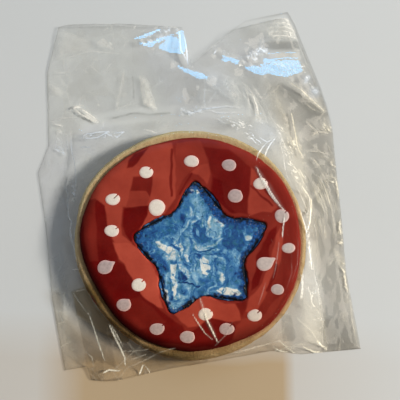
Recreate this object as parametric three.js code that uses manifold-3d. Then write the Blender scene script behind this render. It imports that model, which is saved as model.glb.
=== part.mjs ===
// A round sugar cookie with flooded icing, lying face up in its clear treat bag. Millimetres, +Z up.
// The origin lies on the resting surface under the middle of the cookie, and the bag's mouth is towards +Y.
// From the surface up: the bag's back film, the baked dough, the red icing with a star-shaped window,
// the marbled star that fills the window, twenty white dots sunk in the red, and the bag's front film.
import * as THREE from "three";
import { mergeVertices } from "three/addons/utils/BufferGeometryUtils.js";
import Module from "manifold-3d";

const wasm = await Module();
wasm.setup();

// Clearances: the film is thickened here, and pieces that touch stand a hair apart.
const FILM = 0.4;
const FIT_GAP = 0.35;

// Baked dough: a disc with a swollen side, a little out of round.
const COOKIE_RADIUS = 40;
const DOUGH_THICKNESS = 6.5;
const DOUGH_EDGE_ROUND = 1.8;
const DOUGH_EDGE_LEVELS = 6;
const DOUGH_BOXINESS = 0.75;
const DOUGH_SEGMENTS = 72;
const DOUGH_WAVES = [
  { lobes: 2, share: 0.004, phase: 0.6 },
  { lobes: 3, share: 0.003, phase: 2.1 },
  { lobes: 5, share: 0.003, phase: 4.0 },
];

// Red icing: flooded to a bare rim, with a rounded edge.
const RIM = 2;
const ICING_THICKNESS = 1.5;
const ICING_EDGE_ROUND = 0.9;
const ICING_EDGE_LEVELS = 3;
const ICING_SEGMENTS = 84;
const ICING_WAVES = [
  { lobes: 3, share: 0.004, phase: 1.2 },
  { lobes: 7, share: 0.003, phase: 0.3 },
  { lobes: 11, share: 0.002, phase: 5.1 },
];

// Star: five fat arms about its own middle, each with its reach and heading, and the valleys between them.
const STAR_CENTRE = { x: 4.3, y: -3 };
const STAR_ARMS = [
  { heading: 96, reach: 26.4 },
  { heading: 23, reach: 25.7 },
  { heading: -48, reach: 23.6 },
  { heading: -116, reach: 25.4 },
  { heading: 168, reach: 25.9 },
];
const STAR_VALLEYS = [
  { heading: 55, reach: 14.6 },
  { heading: -13, reach: 14.6 },
  { heading: -89, reach: 15 },
  { heading: -159, reach: 16.4 },
  { heading: 124, reach: 16.9 },
];
const STAR_TIP_ROUND = 4.2;
const STAR_VALLEY_ROUND = 2.4;
const STAR_CURVE_STEPS = 4;
const STAR_SUNK = 0.1;
const STAR_EDGE_ROUND = 0.4;

// White dots: drops let fall into the wet red, each one its own size, some drawn out to a short tail.
const DOT_LONG = 5.3;
const DOT_SHORT = 4.4;
const DOT_DEPTH = 1;
const DOT_RISE = 0.4;
const DOT_SEGMENTS = 14;
const DOT_TAIL_SPREAD = 0.5;
const DOT_CROWN = 0.62;
const DOTS = [
  { x: 0.5, y: 28.8 },
  { x: 13.7, y: 27.4 },
  { x: -15.3, y: 24.8 },
  { x: 24.6, y: 20.8 },
  { x: -26.8, y: 15.2 },
  { x: -11.5, y: 12.3, long: 5.8, short: 6.4 },
  { x: 15.8, y: 16.4, short: 5.2 },
  { x: -27, y: 4.1 },
  { x: 31.9, y: 9.3, short: 5.1 },
  { x: -29.3, y: -8.9, tail: 1.3 },
  { x: 34, y: -1.9, long: 4.8, short: 3.8 },
  { x: 25.7, y: -7.6, long: 5.6, short: 4.8, tail: 1 },
  { x: -17.4, y: -14.7, short: 5.1 },
  { x: 30, y: -16.2, long: 4.8, short: 4 },
  { x: -22.5, y: -21.5 },
  { x: 5.4, y: -24.7 },
  { x: 22.2, y: -25.1 },
  { x: -11.1, y: -29.7 },
  { x: 12.6, y: -29.7 },
  { x: -0.8, y: -32.4 },
];
const DOT_HEADING = 50;

// Bag: its edges as [share of the way along, distance], bottom to mouth on the sides, left to right across.
const BAG_LEFT_X = [[0, -43.4], [0.2, -48.5], [0.4, -51.3], [0.56, -55], [0.64, -50.3], [0.86, -52.3], [1, -48.6]];
const BAG_RIGHT_X = [[0, 59.3], [0.22, 54.4], [0.4, 53.5], [0.64, 51], [0.76, 46.3], [0.89, 40.8], [1, 35.7]];
const BAG_BOTTOM_Y = [[0, -43.3], [0.05, -43.8], [0.1, -47.2], [0.25, -46], [0.7, -36.6], [0.8, -38], [1, -36]];
const BAG_MOUTH_Y = [[0, 81.6], [0.25, 82], [0.55, 81.2], [0.6, 68], [0.75, 79.5], [0.85, 83], [1, 87.4]];
const BAG_NOTCH_FADE = 4;
const BAG_COLUMNS = 20;
const BAG_ROWS = 22;
const BAG_LOW = 1.7;
const BAG_TENT_RUN = 15;
const BAG_TENT_SAG = 1.25;
const BAG_MOUTH_REACH = 2;
const MOUTH_START_Y = 58;
const MOUTH_END_Y = 82;
const MOUTH_RIPPLE = 1.5;
const MOUTH_RIPPLE_LENGTH = 26;
const CRUMPLES = [
  { heading: 15, length: 31, height: 0.5 },
  { heading: 78, length: 23, height: 0.45 },
  { heading: 131, length: 17, height: 0.35 },
];

// Heights that follow from the layers.
const COOKIE_Z = FILM + FIT_GAP;
const ICING_TOP_Z = COOKIE_Z + DOUGH_THICKNESS + ICING_THICKNESS;
const FRONT_FILM_Z = ICING_TOP_Z + DOT_RISE + FIT_GAP + FILM;

const MATERIALS = {
  dough: new THREE.MeshStandardMaterial({ color: 0xc8ad7f, roughness: 0.9, metalness: 0 }),
  redIcing: new THREE.MeshStandardMaterial({ color: 0x8a140f, roughness: 0.35, metalness: 0 }),
  starIcing: new THREE.MeshStandardMaterial({ color: 0x6f9fbd, roughness: 0.4, metalness: 0 }),
  whiteIcing: new THREE.MeshStandardMaterial({ color: 0xe9dfd6, roughness: 0.35, metalness: 0 }),
  film: new THREE.MeshStandardMaterial({
    color: 0xe8ecec,
    roughness: 0.08,
    metalness: 0,
    transparent: true,
    opacity: 0.3,
  }),
};

const radians = THREE.MathUtils.degToRad;

// A point at a distance and a heading in degrees from a middle.
function polar(middle, reach, heading) {
  const angle = radians(heading);
  return new THREE.Vector2(middle.x + reach * Math.cos(angle), middle.y + reach * Math.sin(angle));
}

// A closed outline, anticlockwise, from a function that gives the radius at each angle.
function roundOutline(segments, radiusAt) {
  return Array.from({ length: segments }, (_, i) => {
    const angle = (2 * Math.PI * i) / segments;
    return new THREE.Vector2(Math.cos(angle), Math.sin(angle)).multiplyScalar(radiusAt(angle));
  });
}

// A circle's radius with a few cosine lobes on it, so that it is a little out of round.
function wavyRadius(radius, waves) {
  return (angle) =>
    waves.reduce((sum, w) => sum + radius * w.share * Math.cos(w.lobes * angle + w.phase), radius);
}

// An outline moved outwards by a distance, along the mean of its two edges' normals at each point.
function grown(outline, distance) {
  const count = outline.length;
  return outline.map((point, i) => {
    const before = outline[(i + count - 1) % count];
    const after = outline[(i + 1) % count];
    const along = after.clone().sub(before).normalize();
    return new THREE.Vector2(point.x + along.y * distance, point.y - along.x * distance);
  });
}

// A closed solid through outlines of equal count stacked upwards, closed by a fan at each end.
function stack(levels) {
  const count = levels[0].outline.length;
  const positions = levels.flatMap(({ outline, z }) => outline.flatMap((p) => [p.x, p.y, z]));
  const index = [];
  for (let level = 0; level + 1 < levels.length; level += 1) {
    for (let i = 0; i < count; i += 1) {
      const here = level * count + i;
      const next = level * count + ((i + 1) % count);
      index.push(here, next, next + count, here, next + count, here + count);
    }
  }
  const lowest = levels.length * count;
  const highest = lowest + 1;
  const lastRing = (levels.length - 1) * count;
  for (const { outline, z } of [levels[0], levels[levels.length - 1]]) {
    const middle = outline.reduce((sum, p) => sum.add(p), new THREE.Vector2()).divideScalar(count);
    positions.push(middle.x, middle.y, z);
  }
  for (let i = 0; i < count; i += 1) {
    const next = (i + 1) % count;
    index.push(lowest, next, i);
    index.push(highest, lastRing + i, lastRing + next);
  }
  return indexed(positions, index);
}

// A grid of points as a slab's top, [row][column], over a flat floor with straight sides between them.
function slab(grid, floorZ) {
  const rows = grid.length;
  const columns = grid[0].length;
  const positions = grid.flatMap((row) => row.flatMap((p) => [p.x, p.y, p.z]));
  const index = [];
  for (let j = 0; j + 1 < rows; j += 1) {
    for (let i = 0; i + 1 < columns; i += 1) {
      const a = j * columns + i;
      const b = a + 1;
      const c = b + columns;
      const d = a + columns;
      index.push(a, b, c, a, c, d);
    }
  }
  const rim = [
    ...Array.from({ length: columns - 1 }, (_, i) => i),
    ...Array.from({ length: rows - 1 }, (_, j) => j * columns + columns - 1),
    ...Array.from({ length: columns - 1 }, (_, i) => rows * columns - 1 - i),
    ...Array.from({ length: rows - 1 }, (_, j) => (rows - 1 - j) * columns),
  ];
  const floorStart = rows * columns;
  const floorOutline = rim.map((k) => new THREE.Vector2(positions[3 * k], positions[3 * k + 1]));
  floorOutline.forEach((p) => positions.push(p.x, p.y, floorZ));
  rim.forEach((topHere, k) => {
    const following = (k + 1) % rim.length;
    const floorHere = floorStart + k;
    const floorNext = floorStart + following;
    index.push(floorHere, floorNext, rim[following], floorHere, rim[following], topHere);
  });
  for (const [a, b, c] of THREE.ShapeUtils.triangulateShape(floorOutline, [])) {
    index.push(floorStart + a, floorStart + c, floorStart + b);
  }
  return indexed(positions, index);
}

function indexed(positions, index) {
  return new THREE.BufferGeometry()
    .setAttribute("position", new THREE.Float32BufferAttribute(positions, 3))
    .setIndex(index);
}

function toSolid(geometry) {
  const merged = mergeVertices(geometry);
  return new wasm.Manifold(
    new wasm.Mesh({
      numProp: 3,
      vertProperties: new Float32Array(merged.attributes.position.array),
      triVerts: new Uint32Array(merged.index.array),
    }),
  );
}

function toGeometry(solid) {
  const { vertProperties, triVerts } = solid.getMesh();
  return indexed(Array.from(vertProperties), Array.from(triVerts));
}

function piece(name, geometry, material) {
  geometry.computeVertexNormals();
  const mesh = new THREE.Mesh(geometry, material);
  mesh.name = name;
  return mesh;
}

// Baked dough: the side swells as a squared-off half oval between a flat underside and a flat top.
function doughGeometry() {
  const outline = roundOutline(DOUGH_SEGMENTS, wavyRadius(COOKIE_RADIUS, DOUGH_WAVES));
  const levels = Array.from({ length: DOUGH_EDGE_LEVELS + 1 }, (_, k) => {
    const angle = Math.PI * (k / DOUGH_EDGE_LEVELS - 0.5);
    const rise = Math.sign(Math.sin(angle)) * Math.abs(Math.sin(angle)) ** DOUGH_BOXINESS;
    const inset = DOUGH_EDGE_ROUND * (1 - Math.abs(Math.cos(angle)) ** DOUGH_BOXINESS);
    return { outline: grown(outline, -inset), z: (DOUGH_THICKNESS * (1 + rise)) / 2 };
  });
  return stack(levels);
}

// The flooded disc before anything is cut from it: a straight foot, then a quarter-round edge.
function icingDisc() {
  const outline = roundOutline(ICING_SEGMENTS, wavyRadius(COOKIE_RADIUS - RIM, ICING_WAVES));
  const edge = Array.from({ length: ICING_EDGE_LEVELS + 1 }, (_, k) => {
    const angle = (Math.PI / 2) * (k / ICING_EDGE_LEVELS);
    return {
      outline: grown(outline, -ICING_EDGE_ROUND * (1 - Math.cos(angle))),
      z: ICING_THICKNESS - ICING_EDGE_ROUND * (1 - Math.sin(angle)),
    };
  });
  return stack([{ outline, z: 0 }, ...edge]);
}

// Star outline: straight sides between the arm tips and valleys, with a curve round each of the ten corners.
function starOutline() {
  const corners = STAR_ARMS.flatMap((arm, i) => [
    { at: polar(STAR_CENTRE, arm.reach, arm.heading), round: STAR_TIP_ROUND },
    { at: polar(STAR_CENTRE, STAR_VALLEYS[i].reach, STAR_VALLEYS[i].heading), round: STAR_VALLEY_ROUND },
  ]).reverse();
  const towards = (from, to, distance) => to.clone().sub(from).setLength(distance).add(from);
  const outline = corners.flatMap(({ at, round }, i) => {
    const before = corners[(i + corners.length - 1) % corners.length].at;
    const after = corners[(i + 1) % corners.length].at;
    const curve = new THREE.QuadraticBezierCurve(towards(at, before, round), at, towards(at, after, round));
    return curve.getPoints(STAR_CURVE_STEPS);
  });
  return outline;
}

// The star stands in its window from the dough up, with a softened edge just under the red's surface.
function starGeometry() {
  const outline = starOutline();
  const top = ICING_THICKNESS - STAR_SUNK;
  return stack([
    { outline, z: 0 },
    { outline, z: top - STAR_EDGE_ROUND },
    { outline: grown(outline, -STAR_EDGE_ROUND), z: top },
  ]);
}

function starWindow() {
  const outline = grown(starOutline(), FIT_GAP);
  return toSolid(stack([{ outline, z: -1 }, { outline, z: ICING_THICKNESS + 1 }]));
}

// A dot's outline: an oval, swollen on the side of its tail.
function dotOutline({ long = DOT_LONG, short = DOT_SHORT, tail = 0 }) {
  return roundOutline(DOT_SEGMENTS, (angle) => {
    const oval = 0.5 / Math.hypot(Math.cos(angle) / long, Math.sin(angle) / short);
    const offTail = Math.atan2(Math.sin(angle), Math.cos(angle)) - radians(DOT_HEADING);
    return oval + tail * Math.exp(-((offTail / DOT_TAIL_SPREAD) ** 2));
  });
}

// A dot: a straight foot in its pocket, then a low crown.
function dotGeometry(dot) {
  const outline = dotOutline(dot);
  const crown = outline.map((p) => p.clone().multiplyScalar(DOT_CROWN));
  return stack([
    { outline, z: 0 },
    { outline, z: DOT_DEPTH },
    { outline: crown, z: DOT_DEPTH + DOT_RISE },
  ]);
}

// The hollow that a dot rests in, open upwards.
function dotPocket(dot) {
  const outline = grown(dotOutline(dot), FIT_GAP).map((p) => p.add(new THREE.Vector2(dot.x, dot.y)));
  return toSolid(
    stack([
      { outline, z: ICING_THICKNESS - DOT_DEPTH },
      { outline, z: ICING_THICKNESS + 1 },
    ]),
  );
}

function redIcingGeometry() {
  const withWindow = toSolid(icingDisc()).subtract(starWindow());
  return toGeometry(DOTS.reduce((solid, dot) => solid.subtract(dotPocket(dot)), withWindow));
}

// A value read off a list of [share, value] points by straight lines between them.
function along(points, share) {
  const last = points.findIndex(([at], k) => k > 0 && at >= share - Number.EPSILON);
  const [fromShare, from] = points[last - 1];
  const [toShare, to] = points[last];
  return THREE.MathUtils.mapLinear(share, fromShare, toShare, from, to);
}

// A sharp zigzag between 0 and 1, once for each whole number.
function zigzag(turns) {
  return Math.abs(2 * (turns - Math.floor(turns)) - 1);
}

// Height of the front film: over the cookie it lies on the dots, round it it slopes down like a tent, and
// towards the mouth it ripples. Straight folds at a few headings crumple it everywhere.
function filmHeight(x, y) {
  const outside = Math.hypot(x, y) - COOKIE_RADIUS;
  const nearness = THREE.MathUtils.clamp(1 - outside / BAG_TENT_RUN, 0, 1);
  const tent = (FRONT_FILM_Z - BAG_LOW) * nearness ** BAG_TENT_SAG;
  const mouth = THREE.MathUtils.smoothstep(y, MOUTH_START_Y, MOUTH_END_Y);
  const ripple = MOUTH_RIPPLE * mouth * zigzag(x / MOUTH_RIPPLE_LENGTH);
  const crumple = CRUMPLES.reduce((sum, { heading, length, height }) => {
    const across = x * Math.cos(radians(heading)) + y * Math.sin(radians(heading));
    return sum + height * zigzag(across / length);
  }, 0);
  return BAG_LOW + tent + ripple + crumple;
}

// The front film's outer face as rows of points from the bottom of the bag to its mouth. The rows end on a
// straight line between the mouth's corners, and the notched mouth's way off that line fades in near it.
function frontFace() {
  return Array.from({ length: BAG_ROWS + 1 }, (_, j) => {
    const up = j / BAG_ROWS;
    return Array.from({ length: BAG_COLUMNS + 1 }, (_, i) => {
      const across = i / BAG_COLUMNS;
      const x = THREE.MathUtils.lerp(along(BAG_LEFT_X, up), along(BAG_RIGHT_X, up), across);
      const straight = THREE.MathUtils.lerp(along(BAG_MOUTH_Y, 0), along(BAG_MOUTH_Y, 1), across);
      const notch = (along(BAG_MOUTH_Y, across) - straight) * up ** BAG_NOTCH_FADE;
      const y = THREE.MathUtils.lerp(along(BAG_BOTTOM_Y, across), straight, up) + notch;
      return new THREE.Vector3(x, y, filmHeight(x, y));
    });
  });
}

// A point moved towards its neighbour, or away from it, by a distance in plan.
function shifted(point, neighbour, distance) {
  const span = Math.hypot(neighbour.x - point.x, neighbour.y - point.y);
  return point.clone().lerp(neighbour, distance / span);
}

// The same face as the inside of the bag sees it: drawn in at the sides and bottom by the film, lowered
// by the film, and carried on past the mouth so that it opens there.
function insideFace(face) {
  const lastRow = face.length - 1;
  const lastColumn = face[0].length - 1;
  const narrowed = face.map((row) => {
    const copy = row.map((p) => p.clone());
    copy[0] = shifted(row[0], row[1], FILM);
    copy[lastColumn] = shifted(row[lastColumn], row[lastColumn - 1], FILM);
    return copy;
  });
  const bottom = narrowed[0].map((p, i) => shifted(p, narrowed[1][i], FILM));
  const mouth = narrowed[lastRow].map((p, i) => shifted(p, narrowed[lastRow - 1][i], -BAG_MOUTH_REACH));
  const shaped = [bottom, ...narrowed.slice(1, lastRow), mouth];
  return shaped.map((row) => row.map((p) => p.setZ(p.z - FILM)));
}

// The bag: a flat back film and a tented front film joined at the sides and bottom, hollow and open at +Y.
function bagGeometry() {
  const face = frontFace();
  return toGeometry(toSolid(slab(face, 0)).subtract(toSolid(slab(insideFace(face), FILM))));
}

const icing = new THREE.Group();
icing.position.z = DOUGH_THICKNESS;
icing.add(piece("red_icing", redIcingGeometry(), MATERIALS.redIcing));
icing.add(piece("star_icing", starGeometry(), MATERIALS.starIcing));
DOTS.forEach((dot, i) => {
  const name = `dot_${String(i + 1).padStart(2, "0")}`;
  const mesh = piece(name, dotGeometry(dot), MATERIALS.whiteIcing);
  mesh.position.set(dot.x, dot.y, ICING_THICKNESS - DOT_DEPTH);
  icing.add(mesh);
});

const cookie = new THREE.Group();
cookie.position.z = COOKIE_Z;
cookie.add(piece("cookie_base", doughGeometry(), MATERIALS.dough));
cookie.add(icing);

const baggedCookie = new THREE.Group();
baggedCookie.add(cookie);
baggedCookie.add(piece("bag", bagGeometry(), MATERIALS.film));

export default baggedCookie;
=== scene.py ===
"""A round sugar cookie with flooded red icing, a marbled star and white dots, in its clear treat bag."""

import itertools
import math
from collections import namedtuple
from functools import reduce

import bpy
import numpy as np
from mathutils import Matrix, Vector


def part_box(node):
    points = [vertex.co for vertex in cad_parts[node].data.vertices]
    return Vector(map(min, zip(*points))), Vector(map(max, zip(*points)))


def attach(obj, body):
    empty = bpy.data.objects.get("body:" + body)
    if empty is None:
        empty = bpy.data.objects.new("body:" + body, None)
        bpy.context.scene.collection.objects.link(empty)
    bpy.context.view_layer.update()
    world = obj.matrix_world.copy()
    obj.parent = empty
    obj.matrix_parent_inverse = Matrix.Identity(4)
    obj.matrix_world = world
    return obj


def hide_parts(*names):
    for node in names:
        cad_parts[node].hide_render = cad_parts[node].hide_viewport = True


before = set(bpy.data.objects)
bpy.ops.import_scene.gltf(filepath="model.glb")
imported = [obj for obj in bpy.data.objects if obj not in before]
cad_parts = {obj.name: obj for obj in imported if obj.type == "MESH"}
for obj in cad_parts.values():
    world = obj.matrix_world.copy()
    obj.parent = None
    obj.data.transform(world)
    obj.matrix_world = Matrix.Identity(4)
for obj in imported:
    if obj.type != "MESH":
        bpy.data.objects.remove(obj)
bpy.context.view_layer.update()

# Sizes are in millimetres and become metres when a mesh is made. +Y points to the bag's open mouth.
MM = 0.001
TURN = 2 * math.pi


def corners_mm(node):
    """Lowest and highest corner of a CAD node, in millimetres."""
    low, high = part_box(node)
    return np.array(low) / MM, np.array(high) / MM


# Heights: under and over the dough, over the red icing, under the dots, and where the icing is bedded.
DOUGH_FLOOR, DOUGH_TOP = (corner[2] for corner in corners_mm("cookie_base"))
ICING_TOP = corners_mm("red_icing")[1][2]
DOT_FLOOR = corners_mm("dot_01")[0][2]
ICING_BED = DOUGH_TOP - 0.05

# Dough: its reach at each heading round the middle, in degrees and mm, and its rounded side.
DOUGH_RADIUS = 40
DOUGH_STEPS = 420
DOUGH_SIDE_RINGS = 41
DOUGH_FLAT_RINGS = 20
DOUGH_EDGE_ROUND = 1.7
DOUGH_REACH = [
    (0, 40.4), (30, 40.9), (48, 41.5), (62, 41.3), (76, 40.7), (120, 40.8), (150, 41.7), (168, 40.7),
    (195, 39.6), (212, 38.6), (240, 38.6), (255, 39.6), (270, 40), (285, 40.1), (300, 39.9),
    (315, 40.6), (345, 40.4),
]

# Red icing: its reach at each heading, its rounded edge and how thick it is there, and where it is shaded.
ICING_STEPS = 760
ICING_ACROSS = 112
ICING_REACH = [
    (0, 38.2), (15, 38.6), (35, 39.1), (48, 38.8), (60, 38.3), (75, 37.9), (105, 37), (120, 37.7),
    (150, 38.4), (178, 38.4), (195, 36.5), (208, 35.4), (225, 36.1), (240, 36.6), (255, 36.8),
    (270, 37.2), (285, 37.2), (300, 37.7), (313, 39.2), (340, 38.7),
]
ICING_EDGE_ROUND = 3.4
ICING_FOOT = 0.45
ICING_SHADED_HEADING = 238

# Star: arms and valleys as (heading in degrees, reach) about its own middle.
STAR_MIDDLE = np.array([4.3, -3.0])
STAR_STEPS = 640
STAR_RINGS = 131
STAR_ARMS = [(96, 26.4), (23, 25.7), (-48, 23.6), (-116, 25.4), (168, 25.9)]
STAR_VALLEYS = [(55, 14.6), (-13, 14.6), (-89, 15.0), (-159, 16.4), (124, 16.9)]
STAR_TIP_ROUND = 4.2
STAR_VALLEY_ROUND = 2.4
STAR_SUNK = 0.12
STAR_EDGE_ROUND = 0.7

# Dots: those drawn out to a tail, with its length, and those with a slit where the piping tip was
# lifted, with the share of the radius that it runs in. A dot takes the painted light of the icing round it.
DOT_NODES = sorted(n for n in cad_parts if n.startswith("dot_"))
DOT_TAILS = {"dot_10": 1.5, "dot_12": 1.7, "dot_15": 0.5, "dot_20": 0.3, "dot_18": 0.3, "dot_07": 0.25}
DOT_SLITS = {
    "dot_03": 0.35, "dot_04": 0.2, "dot_05": 0.8, "dot_08": 0.38, "dot_09": 0.42, "dot_13": 0.4,
    "dot_16": 0.2, "dot_17": 0.5, "dot_18": 0.25, "dot_19": 0.42,
}
DOT_TAIL_HEADING = 38
DOT_RISE = 0.22
DOT_STEPS = 120
DOT_RINGS = 18
DOT_SURROUND = 2.2
SLIT_WIDTH = 0.36
SLIT_DEPTH = 0.16


# ---------------------------------------------------------------- numbers on lattices

def lattice_random(cell, seed):
    """A fixed random number from 0 to 1 for each whole-numbered lattice point."""
    weights = np.array([127.1, 311.7, 74.7])[: cell.shape[-1]]
    wave = np.sin(cell @ weights + seed * 17.31) * 43758.5453
    return wave - np.floor(wave)


def noise(points, size, seed):
    """Smooth value noise from 0 to 1: lattice random numbers, blended by a smoothstep in each cell."""
    place = points / size
    cell = np.floor(place)
    part = place - cell
    part = part * part * (3 - 2 * part)
    total = np.zeros(points.shape[:-1])
    for corner in itertools.product((0, 1), repeat=points.shape[-1]):
        share = np.prod(np.where(corner, part, 1 - part), axis=-1)
        total += share * lattice_random(cell + np.array(corner), seed)
    return total


def layered_noise(points, size, seed, layers=3):
    """Value noise from -1 to 1: each layer half the size and half the strength of the one before."""
    total = np.zeros(points.shape[:-1])
    strength = 0.0
    for k in range(layers):
        total += (2 * noise(points, size / 2**k, seed + k) - 1) / 2**k
        strength += 1 / 2**k
    return total / strength


def wander(points, size, seed):
    """Two smooth noises from -0.5 to 0.5 at each point, to push it aside by."""
    return np.stack([noise(points, size, seed) - 0.5, noise(points, size, seed + 1) - 0.5], -1)


def smoothstep(low, high, value):
    """0 below low, 1 above high, and a smooth S between them."""
    part = np.clip((value - low) / (high - low), 0, 1)
    return part * part * (3 - 2 * part)


# ---------------------------------------------------------------- outlines

def reach_at(reaches, angle):
    """Reach at an angle in radians, read off (heading, reach) points and averaged over a few degrees."""
    heading = np.degrees(angle)
    return sum(np.interp(heading + off, *zip(*reaches), period=360) for off in (-6, -3, 0, 3, 6)) / 5


def outwards(angle):
    """Unit vector in plan at each angle."""
    return np.stack([np.cos(angle), np.sin(angle)], -1)


def circle(steps):
    """Angles of even steps round a circle, and the unit vector outwards at each."""
    angle = np.linspace(0, TURN, steps, endpoint=False)
    return angle, outwards(angle)


def round_middle(plan):
    """Angle and distance of each place about the middle of the cookie."""
    return np.arctan2(plan[..., 1], plan[..., 0]), np.hypot(plan[..., 0], plan[..., 1])


def raised(plan, height):
    """Places in plan joined with their heights."""
    return np.concatenate([plan, height[..., None]], -1)


def polar(middle, heading, reach):
    """The point at a heading in degrees and a reach from a middle."""
    return middle + reach * outwards(math.radians(heading))


def star_outline(steps=9):
    """Closed star outline, anticlockwise: straight sides, and a quadratic curve round each corner."""
    corners = []
    for (arm, reach), (valley, depth) in zip(STAR_ARMS, STAR_VALLEYS):
        corners.append((polar(STAR_MIDDLE, arm, reach), STAR_TIP_ROUND))
        corners.append((polar(STAR_MIDDLE, valley, depth), STAR_VALLEY_ROUND))
    corners.reverse()
    outline = []
    t = np.linspace(0, 1, steps)[:, None]
    for k, (corner, rounding) in enumerate(corners):
        before = corners[k - 1][0] - corner
        after = corners[(k + 1) % len(corners)][0] - corner
        start = corner + before * rounding / np.linalg.norm(before)
        end = corner + after * rounding / np.linalg.norm(after)
        outline.append((1 - t) ** 2 * start + 2 * t * (1 - t) * corner + t**2 * end)
    return np.concatenate(outline)


def star_reach(angle):
    """Distance from the star's middle to its outline at each angle, by interpolating the outline."""
    offset = star_outline() - STAR_MIDDLE
    turn = np.arctan2(offset[:, 1], offset[:, 0])
    order = np.argsort(turn)
    reach = np.hypot(offset[:, 0], offset[:, 1])
    ragged = 0.34 * layered_noise(outwards(angle) * 25, 1.5, 5)
    return np.interp(angle, turn[order], reach[order], period=TURN) + ragged


def distance_to_outline(points, outline):
    """Shortest distance from each point to a closed outline's straight pieces."""
    start = outline
    step = np.roll(outline, -1, axis=0) - outline
    offset = points[..., None, :] - start
    share = np.clip((offset * step).sum(-1) / np.maximum((step * step).sum(-1), 1e-9), 0, 1)
    return np.linalg.norm(offset - share[..., None] * step, axis=-1).min(-1)


def along_line(points, line):
    """Shortest distance from each point to an open line's straight pieces, and the share of the line's
    length at which the nearest place lies."""
    line = np.array(line, float)
    lengths = np.linalg.norm(np.diff(line, axis=0), axis=-1)
    passed = np.concatenate([[0], np.cumsum(lengths)])
    nearest = np.full(points.shape[:-1], np.inf)
    share = np.zeros(points.shape[:-1])
    for k, start in enumerate(line[:-1]):
        step = line[k + 1] - start
        part = np.clip(((points - start) @ step) / (step @ step), 0, 1)
        away = np.linalg.norm(points - start - part[..., None] * step, axis=-1)
        share = np.where(away < nearest, (passed[k] + part * lengths[k]) / passed[-1], share)
        nearest = np.minimum(nearest, away)
    return nearest, share


def distance_to_line(points, line):
    """Shortest distance from each point to an open line's straight pieces."""
    return along_line(points, line)[0]


def inside(points, corners):
    """True for the points inside a polygon: a ray from them crosses its edges an odd number of times."""
    x, y = points[..., 0], points[..., 1]
    odd = np.zeros(x.shape, bool)
    for (x0, y0), (x1, y1) in zip(corners, corners[1:] + corners[:1]):
        if y0 == y1:
            continue
        crosses = (y0 > y) != (y1 > y)
        odd ^= crosses & (x < x0 + (y - y0) * (x1 - x0) / (y1 - y0))
    return odd


def cover(points, corners, soft):
    """How far a polygon covers each point, from 0 to 1 across an edge blurred by a soft width."""
    off = distance_to_line(points, corners + corners[:1])
    return smoothstep(-soft, soft, np.where(inside(points, corners), off, -off))


# ---------------------------------------------------------------- meshes

NO_TRIS = np.zeros((0, 3), int)


def mesh_piece(name, points, quads, tris, material, nodes, marks):
    """Makes a smooth-shaded piece from points in millimetres, with marks stored on them, and hides the CAD
    parts that it stands for."""
    mesh = bpy.data.meshes.new(name)
    loops = np.concatenate([np.ravel(quads), np.ravel(tris)]).astype(np.int32)
    sizes = np.concatenate([np.full(len(quads), 4), np.full(len(tris), 3)])
    mesh.vertices.add(len(points))
    mesh.vertices.foreach_set("co", (np.asarray(points) * MM).astype(np.float32).ravel())
    mesh.loops.add(len(loops))
    mesh.loops.foreach_set("vertex_index", loops)
    mesh.polygons.add(len(sizes))
    mesh.polygons.foreach_set("loop_start", (np.cumsum(sizes) - sizes).astype(np.int32))
    mesh.polygons.foreach_set("use_smooth", np.ones(len(sizes), bool))
    mesh.update(calc_edges=True)
    for mark, values in marks.items():
        layer = mesh.attributes.new(mark, "FLOAT", "POINT")
        layer.data.foreach_set("value", np.asarray(values, np.float32).ravel())
    mesh.materials.append(material)
    piece = bpy.data.objects.new(name, mesh)
    bpy.context.scene.collection.objects.link(piece)
    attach(piece, "root")
    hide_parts(*nodes)
    return piece


def grid_quads(rows, columns, wrap_rows=False, wrap_columns=False):
    """Quads of a grid of points numbered row by row, joined end to end where it wraps."""
    row = np.arange(rows if wrap_rows else rows - 1)
    column = np.arange(columns if wrap_columns else columns - 1)
    j, i = np.meshgrid(row, column, indexing="ij")
    here = j * columns + i
    right = j * columns + (i + 1) % columns
    up = (j + 1) % rows * columns + i
    up_right = (j + 1) % rows * columns + (i + 1) % columns
    return np.stack([here, right, up_right, up], -1).reshape(-1, 4)


def ringed_solid(name, rings, material, nodes, marks):
    """A closed solid through rings [level, step, xyz], lowest first, with a pole at each end."""
    levels, steps = rings.shape[:2]
    poles = np.stack([rings[0].mean(0), rings[-1].mean(0)])
    points = np.concatenate([rings.reshape(-1, 3), poles])
    step = np.arange(steps)
    following = (step + 1) % steps
    low_pole = levels * steps
    last = (levels - 1) * steps
    bottom = np.stack([np.full(steps, low_pole), following, step], -1)
    top = np.stack([np.full(steps, low_pole + 1), last + step, last + following], -1)
    quads = grid_quads(levels, steps, wrap_columns=True)
    marks = {k: np.concatenate([v.ravel(), [v[0].mean(), v[-1].mean()]]) for k, v in marks.items()}
    return mesh_piece(name, points, quads, np.concatenate([bottom, top]), material, nodes, marks)


def above_feet(values, at_feet):
    """A mark's values on a surface, with one value on the two rings of its foot below them."""
    return np.concatenate([np.full((2, values.shape[1]), at_feet), values])


# ---------------------------------------------------------------- materials

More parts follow.
